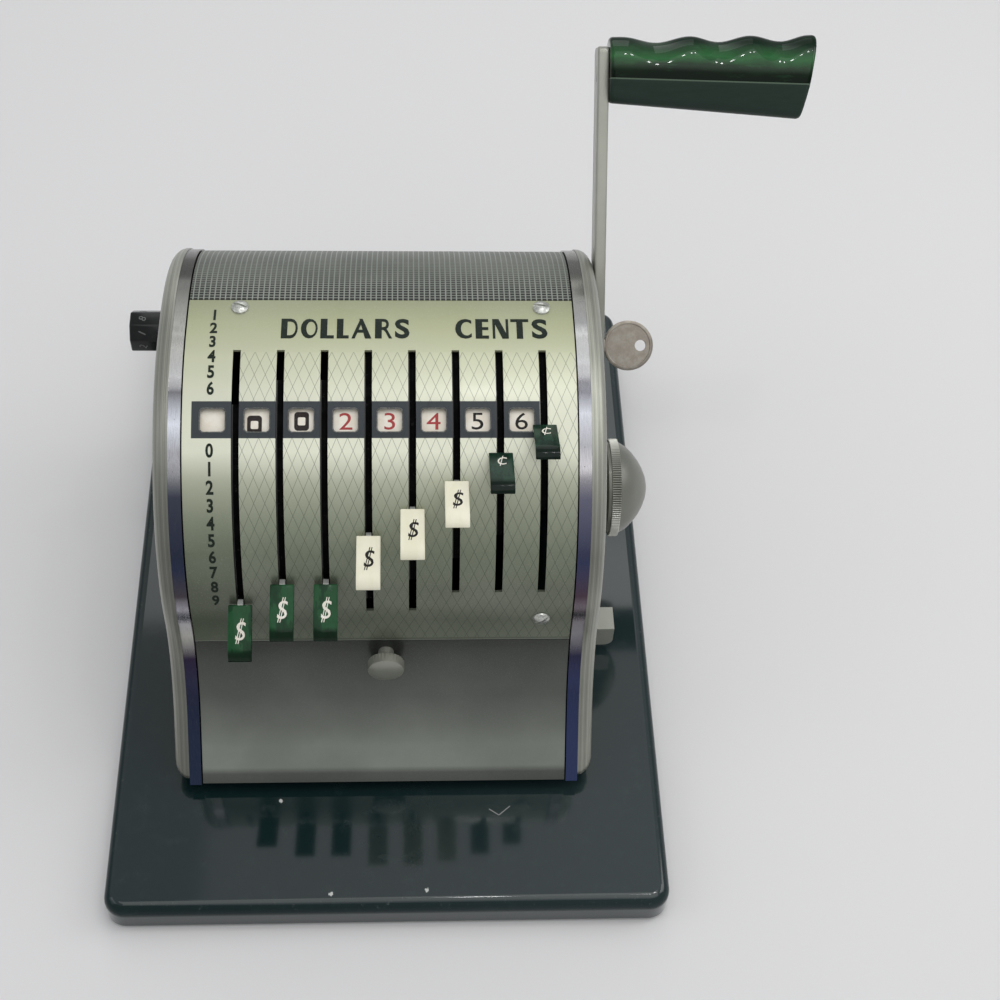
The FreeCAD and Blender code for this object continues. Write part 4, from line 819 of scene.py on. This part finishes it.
# %% [markdown]
# Each window has round corners and a pressed lip.  One flat ring on the face, in the lacquer, and
# one bright ring that slopes in are bridges between rounded loops, wrapped over the drum.

# %% Window frames
strip_metal = speckled(
    "strip_metal", (0.20, 0.21, 0.20), 0.4, grain=(0.6, 4), fade=(0.35, 0.7),
    tones=((0.13, 0.14, 0.14), (0.34, 0.35, 0.33)), sway=(0.34, 0.15), bump=(0.01, 0.4), metal=0.7,
)
WINDOW_WIDE, WINDOW_TALL = 9.7, math.radians(6.8) * DRUM
flats, lips = bmesh.new(), bmesh.new()
for column in COLUMNS:
    rim = (WINDOW_WIDE - 0.1, WINDOW_TALL - 0.1, 1.7, 0.06)
    flat = ring((WINDOW_WIDE + 0.9, WINDOW_TALL + 0.9, 0.2, 0.06), rim, -0.09)
    lip = ring(rim, (WINDOW_WIDE - 0.9, WINDOW_TALL - 0.9, 1.4, -0.45), -0.15)
    for part, whole in ((flat, flats), (lip, lips)):
        wrap_on_face(part, lever_x(column) - WINDOW_SHIFT, drum_down(WINDOW_ANGLE))
        join(whole, part)
make_piece("window_frames", flats, olive, "housing", "olive_face", weld=PRINT_WELD)
make_piece("window_lips", lips, strip_metal, "housing", "olive_face", weld=PRINT_WELD)
print("eight windows", round(WINDOW_WIDE, 1), "by", round(WINDOW_TALL, 1), "mm")

# %% [markdown]
# Each lever ends in a moulded cap, a long block with softened edges and a rounded lower end.  Its
# money sign is a letter with one or two thin bars.

# %% Cap plastics
END_SHADE_START, END_SHADE_END = 93.6, 95.6


def marbled(name, dark, light, rough=0.12, veins_and_shade=0.35):
    """Cast resin with slow swirls of two tones.  A veined one gets a painted shade at its lower end."""
    finish = Finish(name, dark, rough, Specular_IOR_Level=0.16)
    swirl = finish.noise(9, 3, 0.6, (2.0, 0.7, 0.7))
    coats = [(swirl.fade(0.35, 0.68), light)]
    if veins_and_shade:
        vein = (swirl * 9).do("SINE").do("ABSOLUTE")
        coats.append((vein.fade(0.9, 1.0, 0.0, veins_and_shade), scaled(light, 1.4)))
        y, z = finish.axes()[1:]
        reach = distance(y - AXIS_Y, z - AXIS_Z)
        # painted shade on the lower end, where the cap turns under
        coats.append((reach.fade(END_SHADE_START, END_SHADE_END, 0.0, 0.9), scaled(dark, 0.3)))
    nick = finish.noise(1.8, 6, 0.7).fade(0.64, 0.72)
    bump = finish.emboss(finish.noise(2.5, 3), 0.02, 0.4)
    finish.set(Base_Color=finish.layers(dark, *coats), Roughness=rough + nick * 0.25, Normal=bump)
    return finish


green_resin = marbled("green_resin", (0.006, 0.036, 0.013), (0.015, 0.078, 0.028))
dark_resin = marbled("dark_green_resin", (0.006, 0.022, 0.013), (0.012, 0.046, 0.026))
ivory = marbled("ivory_resin", (0.82, 0.79, 0.61), (0.87, 0.84, 0.68), 0.30, 0.0)
print("three resins")

# %% Caps and their signs
CAP_WIDE, CAP_TURN, NECK = 8.7, 36.7, 79.7
CAP_SIDE = (
    (0.0, -2.1), (0.0, 0.9), (0.4, 1.4), (15.9, 1.4), (17.6, 1.18), (19.1, 0.55), (20.2, -0.4),
    (20.8, -1.4), (20.9, -2.1),
)
# letter, height, fatness, width, places of the strokes, and half a stroke's height
DOLLAR = ("S", 6.8, 0.004, 0.92, (-0.40, 0.40), 4.7)
CENT = ("C", 4.4, 0.0, 0.84, (0.0,), 3.0)
STROKE_HALF, STROKE_SLANT = 0.17, 0.2
DOLLAR_DOWN, CENT_DOWN, SIGN_LIFT = -9.8, -5.6, 1.36
GREEN_CAP = (green_resin, "green_cap", DOLLAR, white_ink, DOLLAR_DOWN)
IVORY_CAP = (ivory, "ivory_cap", DOLLAR, black_ink, DOLLAR_DOWN)
DARK_CAP = (dark_resin, "dark_cap", CENT, white_ink, CENT_DOWN)
CAP_KINDS = (GREEN_CAP,) * 3 + (IVORY_CAP,) * 3 + (DARK_CAP,) * 2


def cap_matrix(column):
    """Where a cap's own frame sits: Y back towards the neck, Z off the cap's face."""
    angle = math.radians(BLANK_ANGLE + DIGIT_ANGLE * REST_STEPS[column - 1])
    return seat((lever_x(column), AXIS_Y, AXIS_Z), -angle) @ seat((0, -NECK, 0), math.radians(CAP_TURN))


def money_sign(letter, height, fat, wide, strokes, tall):
    """A dollar or a cent sign, flat in XY and centred."""
    sign = letters(letter, height, 0.12, fat, 0.12, wide)
    for place in strokes:
        low, high = place - STROKE_SLANT * tall, place + STROKE_SLANT * tall
        foot = ((low - STROKE_HALF, -tall, 0), (low + STROKE_HALF, -tall, 0))
        head = ((high + STROKE_HALF, tall, 0), (high - STROKE_HALF, tall, 0))
        join(sign, slab(foot + head, (0, 0, 0.13)))
    return sign


for column, (cap_resin, cap_slot, kind, sign_ink, sign_down) in zip(COLUMNS, CAP_KINDS):
    cap = slab([(-CAP_WIDE / 2, -along, up) for along, up in CAP_SIDE], (CAP_WIDE, 0, 0))
    soften(cap, 0.55, 3, 35)
    move(cap, cap_matrix(column))
    piece = make_piece(f"cap_{column}", cap, cap_resin, f"lever_{column}", cap_slot)
    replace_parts(piece, f"key_cap_{column}")
    sign = money_sign(*kind)
    move(sign, cap_matrix(column) @ Matrix.Translation((0, sign_down, SIGN_LIFT)))
    make_piece(f"sign_{column}", sign, sign_ink, f"lever_{column}", cap_slot, weld=PRINT_WELD)
print("eight caps")

# %% [markdown]
# The headings are poster capitals: one stroke of each letter is swollen and the rest stay thin.
# A plain letter is stretched on its left side, and a slanting or middle stroke gets a bar on top.

# %% Headings
HEADING_TALL, THIN_STROKE, FAT_STROKE = 9.65, 1.1, 2.35


def swell(mesh, start, stem, extra):
    """Widen a letter's left stroke, from its edge at start to start + stem, and squeeze the rest."""
    right = max(v.co.x for v in mesh.verts)
    for vert in mesh.verts:
        past = vert.co.x - start
        rest = (right - vert.co.x) / (right - start - stem)
        if past > 0:
            vert.co.x += extra * (past / stem if past < stem else rest)


def hollow_out(mesh, extra):
    """Push the inner outline of a round letter to the right, most on its left side."""
    wide, tall = max(v.co.x for v in mesh.verts), max(v.co.y for v in mesh.verts)
    for vert in mesh.verts:
        if math.hypot(vert.co.x / wide, vert.co.y / tall) < 0.9:
            vert.co.x += extra * (1 - vert.co.x / wide) / 2


def heading_letter(text, left, right):
    """One capital between two X places, flat in XY."""
    mesh = letters(text, HEADING_TALL, 0.08, 0.03 if text == "S" else 0.008)
    low, high = min(v.co.x for v in mesh.verts), max(v.co.x for v in mesh.verts)
    half, top, fat = (right - left) / 2, HEADING_TALL / 2, FAT_STROKE
    shift(mesh, (-(low + high) / 2, 0, 0))
    bmesh.ops.scale(mesh, verts=mesh.verts, vec=((right - left) / (high - low), 1, 1))
    bars = {
        "A": ((0.1, top), (half, -top), (half - fat, -top), (-0.9, top)),
        "N": ((-half, top), (fat - half, top), (half, -top), (half - fat, -top)),
        "T": ((-fat / 2, top), (fat / 2, top), (fat / 2, -top), (-fat / 2, -top)),
    }
    if text in bars:
        join(mesh, slab([(x_at, y_at, 0.0) for x_at, y_at in bars[text]], (0, 0, 0.10)))
    elif text in "OC":
        hollow_out(mesh, fat - THIN_STROKE)
    elif text != "S":
        swell(mesh, -half, THIN_STROKE, fat - THIN_STROKE)
    shift(mesh, ((left + right) / 2, 0, 0))
    return mesh


HEADING_SPANS = (
    (-36.7, -30.6), (-29.5, -23.3), (-22.3, -17.3), (-16.3, -11.9), (-10.9, -3.6), (-2.3, 4.0), (5.0, 10.4),
    (27.2, 33.3), (34.7, 39.6), (41.0, 46.9), (47.7, 54.4), (55.5, 61.3),
)
heading = bmesh.new()
for text, (left, right) in zip("DOLLARS" + "CENTS", HEADING_SPANS):
    part = heading_letter(text, left, right)
    wrap_on_face(part, 0, 0.5)
    join(heading, part)
make_piece("headings", heading, green_ink, "housing", "olive_face", weld=PRINT_WELD)
print("two headings")

# %% [markdown]
# Down the left edge runs a column of small condensed numerals, like the scale on a dial.

# %% Scale numerals
SCALE_X, SCALE_TALL = -61.3, 5.2
numerals = bmesh.new()
places = [(-6.2 + 6.5 * i, str(i + 1)) for i in range(6)] + [(49.3 + 6.65 * i, str(i)) for i in range(10)]
for down_at, text in places:
    part = letters(text, SCALE_TALL, 0.08, 0.030, wide=0.80)
    wrap_on_face(part, SCALE_X, down_at)
    join(numerals, part)
make_piece("scale_numerals", numerals, green_ink, "housing", "olive_face", weld=PRINT_WELD)
print(len(places), "numerals on the face")

# %% [markdown]
# The grip is cast in dark green resin.  Under a long ridge its near face is flat, and its top
# rolls over in three finger hollows.  A rim of points is stepped along it and set to the section.

# %% The grip's section
GRIP_START, GRIP_LONG = 86.7, 79.6
GRIP_PEAKS, GRIP_VALLEYS, HOLLOW = (5.2, 31.2, 54.3, 76.7), (18.5, 42.6, 66.7), 2.3
RIDGE, RIDGE_DROP, RIDGE_POINT = 159.9, 0.021, 2
NEAR_SECTION = (
    (151.2, 8.3), (155.4, 10.8), (159.9, 13.5), (164.8, 12.6), (170.0, 11.4), (174.0, 8.0), (176.0, 3.0),
    (175.6, -2.5), (172.2, -7.6), (166.6, -10.6), (159.8, -10.6), (154.0, -8.6), (151.3, -3.5), (150.8, 3.0),
)
FAR_SECTION = (
    (145.8, 5.9), (152.0, 9.1), (158.2, 12.3), (163.4, 11.6), (169.8, 10.9), (175.0, 8.0), (177.6, 3.0),
    (177.2, -2.8), (173.4, -8.2), (167.0, -11.8), (158.8, -12.0), (151.0, -9.8), (146.4, -5.0), (145.2, 1.0),
)


def hollow(along):
    """Depth of the finger hollows at a place along the grip."""
    turns = sorted([(place, 0.0) for place in GRIP_PEAKS] + [(place, HOLLOW) for place in GRIP_VALLEYS])
    for (left, start), (right, end) in zip(turns, turns[1:]):
        if left <= along <= right:
            return start + (end - start) * (1 - math.cos(math.pi * (along - left) / (right - left))) / 2
    return 0.0


def grip_point(turn, along):
    """Point of the grip's skin: turn picks the section point, along runs from 0 to 1."""
    near, far = NEAR_SECTION[turn], FAR_SECTION[turn]
    rise = near[0] + (far[0] - near[0]) * along
    out = near[1] + (far[1] - near[1]) * along
    over = max(0.0, min(1.0, (rise - 163.0) / 8.0))
    depth = hollow(along * GRIP_LONG) * over
    rise -= depth
    out -= depth * 0.45 * (1 if out > 0 else -1)
    slant = 0.16 * min(rise - RIDGE, 0) + 0.17 * max(rise - RIDGE, 0) - 2.5
    return GRIP_START + along * (GRIP_LONG + slant), -out, rise


print("section of", len(NEAR_SECTION), "points")

# %% The grip
resin = Finish("grip_resin", (0.004, 0.045, 0.022), 0.10, Coat_Roughness=0.05, Specular_IOR_Level=0.03)
x, y, z = resin.axes()
cloud = resin.noise(16, 5, 0.6, (0.6, 1.4, 1.4))
silk = resin.noise(2.2, 4, 0.6, (0.25, 1.6, 1.6))
# how far a point lies above the long ridge, across the leaning handle
climb = (y - HANDLE_Y) * math.sin(HANDLE_LEAN) + (z - HANDLE_Z) * math.cos(HANDLE_LEAN)
climb = climb - (RIDGE - (x - GRIP_START) * RIDGE_DROP)
flat_face = 1 - climb.fade(-0.25, 0.25)
# the resin's green by height above the ridge, with painted light: dark just above the ridge, a painted bright
# band in the middle and painted shade over the top
GRIP_TONES_AND_PAINTED_LIGHT = (
    (0, 0.002, 0.006, 0.003), (3.5, 0.003, 0.009, 0.004), (6, 0.005, 0.026, 0.007),
    (8.6, 0.018, 0.108, 0.029), (11, 0.013, 0.064, 0.019), (14.5, 0.008, 0.022, 0.012),
    (18, 0.005, 0.013, 0.008),
)
tone = resin.layers(
    resin.ramp(climb + (cloud - 0.5) * 9, -2, 20, GRIP_TONES_AND_PAINTED_LIGHT),
    (silk.fade(0.56, 0.74, 0.0, 0.25), (0.020, 0.110, 0.038)),
    (flat_face, resin.blend(silk, (0.022, 0.036, 0.028), (0.032, 0.050, 0.041))),
    # a painted highlight along the ridge
    (climb.between(-0.15, 0.35, 0.12) * 0.7, (0.14, 0.19, 0.14)),
)
resin.set(
    Base_Color=tone,
    Roughness=0.05 + silk.fade(0.5, 0.8) * 0.06 + flat_face * 0.35,
    Coat_Weight=climb.fade(3.0, 6.0, 0.10, 0.55) * climb.fade(15.5, 12.5, 0.12, 1.0),
    Normal=resin.emboss(silk, 0.02, 0.2),
)
STATIONS = 44
grip = bmesh.new()
crease = grip.edges.layers.float.new("crease_edge")
bmesh.ops.create_circle(grip, cap_ends=False, segments=len(NEAR_SECTION), radius=1)
rim = grip.verts[:]
for turn, vert in enumerate(rim):
    vert.co = grip_point(turn, 0.0)
for station in range(1, STATIONS + 1):
    around = {edge for vert in rim for edge in vert.link_edges if edge.is_boundary or not edge.link_faces}
    edges = [edge for edge in around if edge.verts[0] in rim and edge.verts[1] in rim]
    order = {}
    for vert in fresh_verts(bmesh.ops.extrude_edge_only(grip, edges=edges)):
        twin = next(e.other_vert(vert) for e in vert.link_edges if e.other_vert(vert) in rim)
        order[rim.index(twin)] = vert
    ridge_start = rim[RIDGE_POINT]
    rim = [order[turn] for turn in range(len(NEAR_SECTION))]
    grip.edges.get((ridge_start, rim[RIDGE_POINT]))[crease] = 0.9
    for turn, vert in enumerate(rim):
        vert.co = grip_point(turn, station / STATIONS)
bmesh.ops.holes_fill(grip, edges=[edge for edge in grip.edges if edge.is_boundary], sides=0)
end_rims = [edge for edge in grip.edges if any(len(face.verts) > 4 for face in edge.link_faces)]
bevel(grip, end_rims, 1.5, 3)
handle_turn = seat((0, HANDLE_Y, HANDLE_Z), -HANDLE_LEAN)
move(grip, handle_turn)
grip_piece = make_piece("grip", grip, resin, "handle", "grip_resin", sharp=60)
rounder = grip_piece.modifiers.new("round", "SUBSURF")
rounder.levels = rounder.render_levels = 2
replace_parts(grip_piece, "handle_grip")
print("grip with", STATIONS, "stations")

# %% [markdown]
# The arm is a flat painted bar.  The solid's edges are knife sharp, so a beveled bar replaces it.

# %% The arm
ARM_X, ARM_THICK, ARM_HALF, ARM_TOP = 82.4, 4.3, 7.0, 172.0
SCREW_UP = 162.0
HUB_PROFILE = ((0, 6.0), (0, 12.5), (0.5, 13.0), (3.8, 13.0), (4.3, 12.5), (4.3, 6.0))
SCREW_PROFILE = ((-0.12, 0.0), (-0.12, 3.0), (0.3, 3.2), (0.3, 0.0))
corner = ((0, 0), (0, ARM_TOP - 2.5), (0.8, ARM_TOP - 0.8), (2.5, ARM_TOP))
outline = [(ARM_X, side - ARM_HALF, up) for side, up in corner]
outline += [(ARM_X, -side, up) for _, side, up in reversed(outline)]
arm = slab(outline, (ARM_THICK, 0, 0))
soften(arm, 0.7, 3, 40)
join(arm, turned([(ARM_X + along, radius) for along, radius in HUB_PROFILE]))
move(arm, handle_turn)
arm_piece = make_piece("arm", arm, fitting_paint, "handle", "sage_hammertone")
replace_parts(arm_piece, "handle_arm")
screw_end = turned([(ARM_X + along, radius) for along, radius in SCREW_PROFILE], 32)
move(screw_end, handle_turn @ Matrix.Translation((0, 0, SCREW_UP)))
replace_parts(make_piece("grip_screw_end", screw_end, fitting_paint, "handle", "sage_hammertone"), "grip_screw")
print("arm", ARM_TOP, "mm long")

# %% [markdown]
# The hub cap is a turned dome behind a knurled band.  The band is spun with a step for each flank,
# and every other column of its points is drawn in.

# %% Dome with a knurled band
def knurled(profile, steps, rim, depth, axis):
    """Spin a profile and draw in every other column of the points that lie on its rim."""
    mesh = turned(profile, steps, axis)
    first, second = [i for i in range(3) if i != "XYZ".index(axis)]
    for vert in mesh.verts:
        across, up = vert.co[first], vert.co[second]
        if math.hypot(across, up) < rim - 0.05:
            continue
        if round(math.atan2(up, across) / (2 * math.pi) * steps) % 2:
            vert.co[first] *= 1 - depth / rim
            vert.co[second] *= 1 - depth / rim
    return mesh


DOME_PROFILE = (
    (86.8, 4.1), (86.8, 9.0), (88.2, 9.0), (88.25, 17.9), (88.5, 18.4), (89.7, 18.5), (89.8, 19.3),
    (90.1, 19.6), (93.2, 19.6), (93.4, 18.5), (94.5, 17.9), (96.9, 16.4), (99.3, 14.0), (101.5, 11.2),
    (103.3, 8.0), (104.6, 4.6), (105.1, 2.0), (105.2, 0.0),
)
dome = knurled(DOME_PROFILE, 256, 19.6, 0.75, "X")
shift(dome, (0, HANDLE_Y, HANDLE_Z))
dome_piece = make_piece("dome", dome, dome_paint, "dome", "sage_hammertone")
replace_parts(dome_piece, "hub_dome")
print("dome knurled")

# %% [markdown]
# The bent tab keeps the shape of its solid and only gets its edges broken.

# %% Tab
tab = bmesh.new()
tab.from_mesh(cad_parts["tab_lever"].data)
bmesh.ops.scale(tab, vec=(1000, 1000, 1000), verts=tab.verts)
bmesh.ops.remove_doubles(tab, verts=tab.verts, dist=0.002)
bmesh.ops.dissolve_limit(tab, angle_limit=math.radians(1), verts=tab.verts, edges=tab.edges)
soften(tab, 0.45, 2, 25)
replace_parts(make_piece("tab", tab, tab_paint, "tab", "sage_hammertone"), "tab_lever")
print("tab softened")

# %% [markdown]
# The thumb screw is turned and knurled like the dome, about an axis that points forward.

# %% Thumb screw
THUMB_X, THUMB_Z = 1.0, 69.4
THUMB_PROFILE = (
    (-72.6, 0.0), (-72.6, 2.0), (-76.4, 2.0), (-76.5, 3.0), (-79.2, 3.0), (-79.4, 2.6), (-81.3, 2.6),
    (-81.5, 6.6), (-81.8, 7.0), (-85.0, 7.0), (-85.5, 6.8), (-85.9, 6.1), (-86.4, 4.6), (-86.7, 2.5),
    (-86.8, 0.0),
)
thumb = knurled(THUMB_PROFILE, 64, 7.0, 0.3, "Y")
shift(thumb, (THUMB_X, 0, THUMB_Z))
thumb_piece = make_piece("thumb_head", thumb, fitting_paint, "thumb", "sage_hammertone")
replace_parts(thumb_piece, "thumb_screw")
print("thumb screw knurled")

# %% [markdown]
# Four slotted screws with low domed heads hold the faceplate.  A head is spun, split by two cuts
# and its slot floor laid back in, which keeps the slot's walls crisp.

# %% Slotted screw heads
screw_metal = speckled(
    "screw_metal", (0.55, 0.56, 0.52), 0.3, grain=(0.7, 5, 0.6), fade=(0.35, 0.7),
    tones=((0.42, 0.43, 0.40), (0.70, 0.71, 0.66)), sway=(0.26, 0.16), bump=(0.01, 0.4), metal=0.8,
)
HEAD_PROFILE = ((0, 0), (0, 3.3), (0.55, 3.15), (1.0, 2.6), (1.4, 1.7), (1.62, 0.8), (1.7, 0.0))
SLOT_HALF, SLOT_FLOOR = 0.42, 0.75
# X, Y and Z of the seat, its tilt forward and the turn of the slot
FACE_SCREWS = (
    (-52.3, 13.0, 165.0, 0, -20), (59.6, 13.0, 165.0, 0, -12),
    (-52.3, -75.08, 88.9, 90, 70), (59.6, -75.08, 88.9, 90, 35),
)
heads = bmesh.new()
for x_at, y_at, z_at, tip, twist in FACE_SCREWS:
    head = turned(HEAD_PROFILE, 40, "Z")
    for side in (-SLOT_HALF, SLOT_HALF):
        cut_plane(head, (0, side, 0), (0, 1, 0))
    centres = [(face, face.calc_center_median()) for face in head.faces]
    inside = [face for face, centre in centres if abs(centre.y) < SLOT_HALF and centre.z > 0.3]
    for vert in fresh_verts(bmesh.ops.extrude_face_region(head, geom=inside)):
        vert.co.z = min(vert.co.z, SLOT_FLOOR)
    bmesh.ops.delete(head, geom=inside, context="FACES_ONLY")
    slot_turn = Matrix.Rotation(math.radians(twist), 4, "Z")
    move(head, seat((x_at, y_at, z_at), math.radians(tip)) @ slot_turn)
    join(heads, head)
heads_piece = make_piece("screw_heads", heads, screw_metal, "housing", "bright_trim")
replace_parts(heads_piece, "face_screws")
print("four slotted heads")

# %% [markdown]
# The key is stamped from nickel silver, rubbed warm and smooth.  Its bow, a disc with a raised rim,
# is spun, and its ring hole is punched before the blade joins it, so the cut meets one closed disc.

# %% Key and lock
nickel = Finish("nickel_silver", (0.50, 0.47, 0.41), 0.34, 1.0)
rub = nickel.noise(3.5, 6, 0.7)
pit = nickel.noise(0.6, 3).fade(0.6, 0.75)
tone = nickel.blend(rub.fade(0.35, 0.7), (0.27, 0.24, 0.205), (0.36, 0.335, 0.29))
nickel.set(Base_Color=tone, Roughness=0.28 + rub * 0.22, Normal=nickel.emboss(rub + pit, 0.03, 0.6))
dress(nickel, "lock_cylinder", "lock_plug")
LOCK_Y, LOCK_Z, KEY_LEAN, BOW_X = 45.7, 109.2, math.radians(46.0), 100.0
BOW_PROFILE = (
    (0.9, 0.0), (0.9, 9.6), (0.7, 10.2), (-0.7, 10.2), (-0.9, 9.6), (-0.9, 9.0), (-0.75, 8.8), (-0.75, 0.0),
)
BLADE_START, BLADE_END, BLADE_HALF, BLADE_THICK, GROOVE = 83.3, 90.6, 2.4, 1.8, 0.6
HOLE_REACH, HOLE_RADIUS = 5.0, 2.3
bow = turned(BOW_PROFILE, 72, "Y")
shift(bow, (BOW_X, 0, 0))
bmesh.ops.recalc_face_normals(bow, faces=bow.faces)
hole = bmesh.new()
bmesh.ops.create_cone(hole, cap_ends=True, segments=32, radius1=HOLE_RADIUS, radius2=HOLE_RADIUS, depth=6)
move(hole, seat((BOW_X + HOLE_REACH, 0, 0), math.pi / 2))
disc, punch = put("bow_disc", as_data("bow_disc", bow)), put("ring_hole", as_data("ring_hole", hole))
bore = disc.modifiers.new("ring_hole", "BOOLEAN")
bore.object = punch
bore.solver = "EXACT"
key = bmesh.new()
key.from_mesh(baked(disc))
for spent in (disc, punch):
    bpy.data.objects.remove(spent)
low, high = -BLADE_HALF, BLADE_HALF
ends = ((BLADE_START, low), (BLADE_END, low), (BLADE_END, high), (BLADE_START, high))
blade = slab([(x_at, -BLADE_THICK / 2, z_at) for x_at, z_at in ends], (0, BLADE_THICK, 0))
soften(blade, 0.25, 2)
for side in (-GROOVE, GROOVE):
    cut_plane(blade, (0, 0, side), (0, 0, 1))
join(key, blade)
move(key, seat((0, LOCK_Y, LOCK_Z), -KEY_LEAN))
key_piece = make_piece("key_bow", key, nickel, "lock", "nickel")
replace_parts(key_piece, "key")
print("key bow at", BOW_X, "mm")

# %% [markdown]
# On the left a black eight-sided knob turns the prefix.  Each flat carries a small grey figure, as
# on a dial, and the edges are broken so that they catch the light.

# %% Octagonal knob
black_resin = speckled(
    "black_resin", (0.010, 0.011, 0.012), 0.16, grain=(5, 5), fade=(0.45, 0.75),
    tones=((0.003, 0.004, 0.004), (0.012, 0.013, 0.013)), sway=(0.13, 0.14), bump=(0.02, 0.4),
    Coat_Weight=0.1, Coat_Roughness=0.06, Specular_IOR_Level=0.3,
)
KNOB_START, KNOB_END, KNOB_FLATS, KNOB_TURN = -84.0, -100.0, 15.5, math.radians(27.5)
KNOB_Y, KNOB_Z, FIGURE_X = 42.3, 121.2, -95.0
EIGHTH = math.pi / 4
corner_reach = KNOB_FLATS / 2 / math.cos(EIGHTH / 2)
corners = [(corner_reach * math.cos(i * EIGHTH), corner_reach * math.sin(i * EIGHTH)) for i in range(8)]
knob = slab([(KNOB_START, y_at, z_at) for y_at, z_at in corners], (KNOB_END - KNOB_START, 0, 0))
soften(knob, 0.7, 3, 30)
knob_turn = seat((0, KNOB_Y, KNOB_Z), KNOB_TURN)
move(knob, knob_turn)
knob_piece = make_piece("octagon_knob", knob, black_resin, "prefix", "black_knob")
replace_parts(knob_piece, "prefix_knob")
figures = bmesh.new()
for side in range(8):
    figure = letters(str(side + 1), 3.0, 0.12)
    flat_turn = Matrix.Rotation((side + 0.5) * EIGHTH, 4, "X")
    figure_seat = seat((FIGURE_X, 0, KNOB_FLATS / 2 - 0.04), math.radians(65), "Z")
    move(figure, knob_turn @ flat_turn @ figure_seat)
    join(figures, figure)
make_piece("knob_figures", figures, grey_ink, "prefix", "black_knob")
print("knob", KNOB_FLATS, "mm across flats")

# %% [markdown]
# The stage is a pale floor, an even sky and soft light from above and in front.  Three small lamps
# give the glossy parts their sparkle.  The camera looks down at the machine from the front.

# %% Floor, light and camera
floor_mesh = bmesh.new()
bmesh.ops.create_grid(floor_mesh, x_segments=1, y_segments=1, size=3.0)
floor = put("floor", as_data("floor", floor_mesh))
floor_paint = Finish("floor_paint", (0.74, 0.735, 0.735), 0.8)
floor.data.materials.append(floor_paint.material)

world = bpy.data.worlds.new("studio")
bpy.context.scene.world = world
world.use_nodes = True
sky = world.node_tree.nodes["Background"]
sky.inputs["Color"].default_value = (0.97, 0.98, 1.0, 1)
sky.inputs["Strength"].default_value = 0.5


def lamp(name, place, target, size, watts, colour=(1, 1, 1)):
    """A square soft light that looks at a point."""
    light = bpy.data.lights.new(name, "AREA")
    light.size = size
    light.energy = watts
    light.color = colour
    holder = put(name, light)
    holder.location = place
    holder.rotation_euler = (Vector(target) - Vector(place)).to_track_quat("-Z", "Y").to_euler()


BODY = (0, 0, 0.08)
MIDDLE = (0, 0, 0.1)
lamp("key_light", (0.15, -0.35, 1.15), BODY, 1.1, 3.7)
lamp("left_fill", (-0.95, -0.25, 0.75), BODY, 0.6, 1.0, (0.94, 0.97, 1.0))
lamp("right_fill", (0.95, 0.1, 0.8), BODY, 0.6, 2.3)
lamp("ceiling_card", (0.25, 0.45, 1.25), (0.25, 0.45, 0), 0.95, 0.8)
lamp("back_light", (0.0, 0.9, 0.8), MIDDLE, 0.7, 1.6)
for number, place in enumerate(((0.50, 0.10, 1.5), (0.33, 0.06, 1.5), (0.09, 0.00, 1.5)), 1):
    lamp(f"spark_{number}", place, MIDDLE, 0.055, 0.44)

camera_data = bpy.data.cameras.new("camera")
camera_data.lens = 63.9
camera_data.sensor_width = 36.0
camera_data.clip_end = 20
camera = put("camera", camera_data)
right = Vector((0.99870792, -0.03356816, 0.03815315))
up = Vector((0.00320019, 0.79083149, 0.61202559))
back = Vector((-0.05071729, -0.61111271, 0.78991709))
turn = Matrix((right, up, back)).transposed().to_4x4()
camera.matrix_world = Matrix.Translation((0.010308, -0.448340, 0.644328)) @ turn
bpy.context.scene.camera = camera
bpy.context.scene.view_settings.view_transform = "Standard"
print("camera at", [round(value, 3) for value in camera.location])
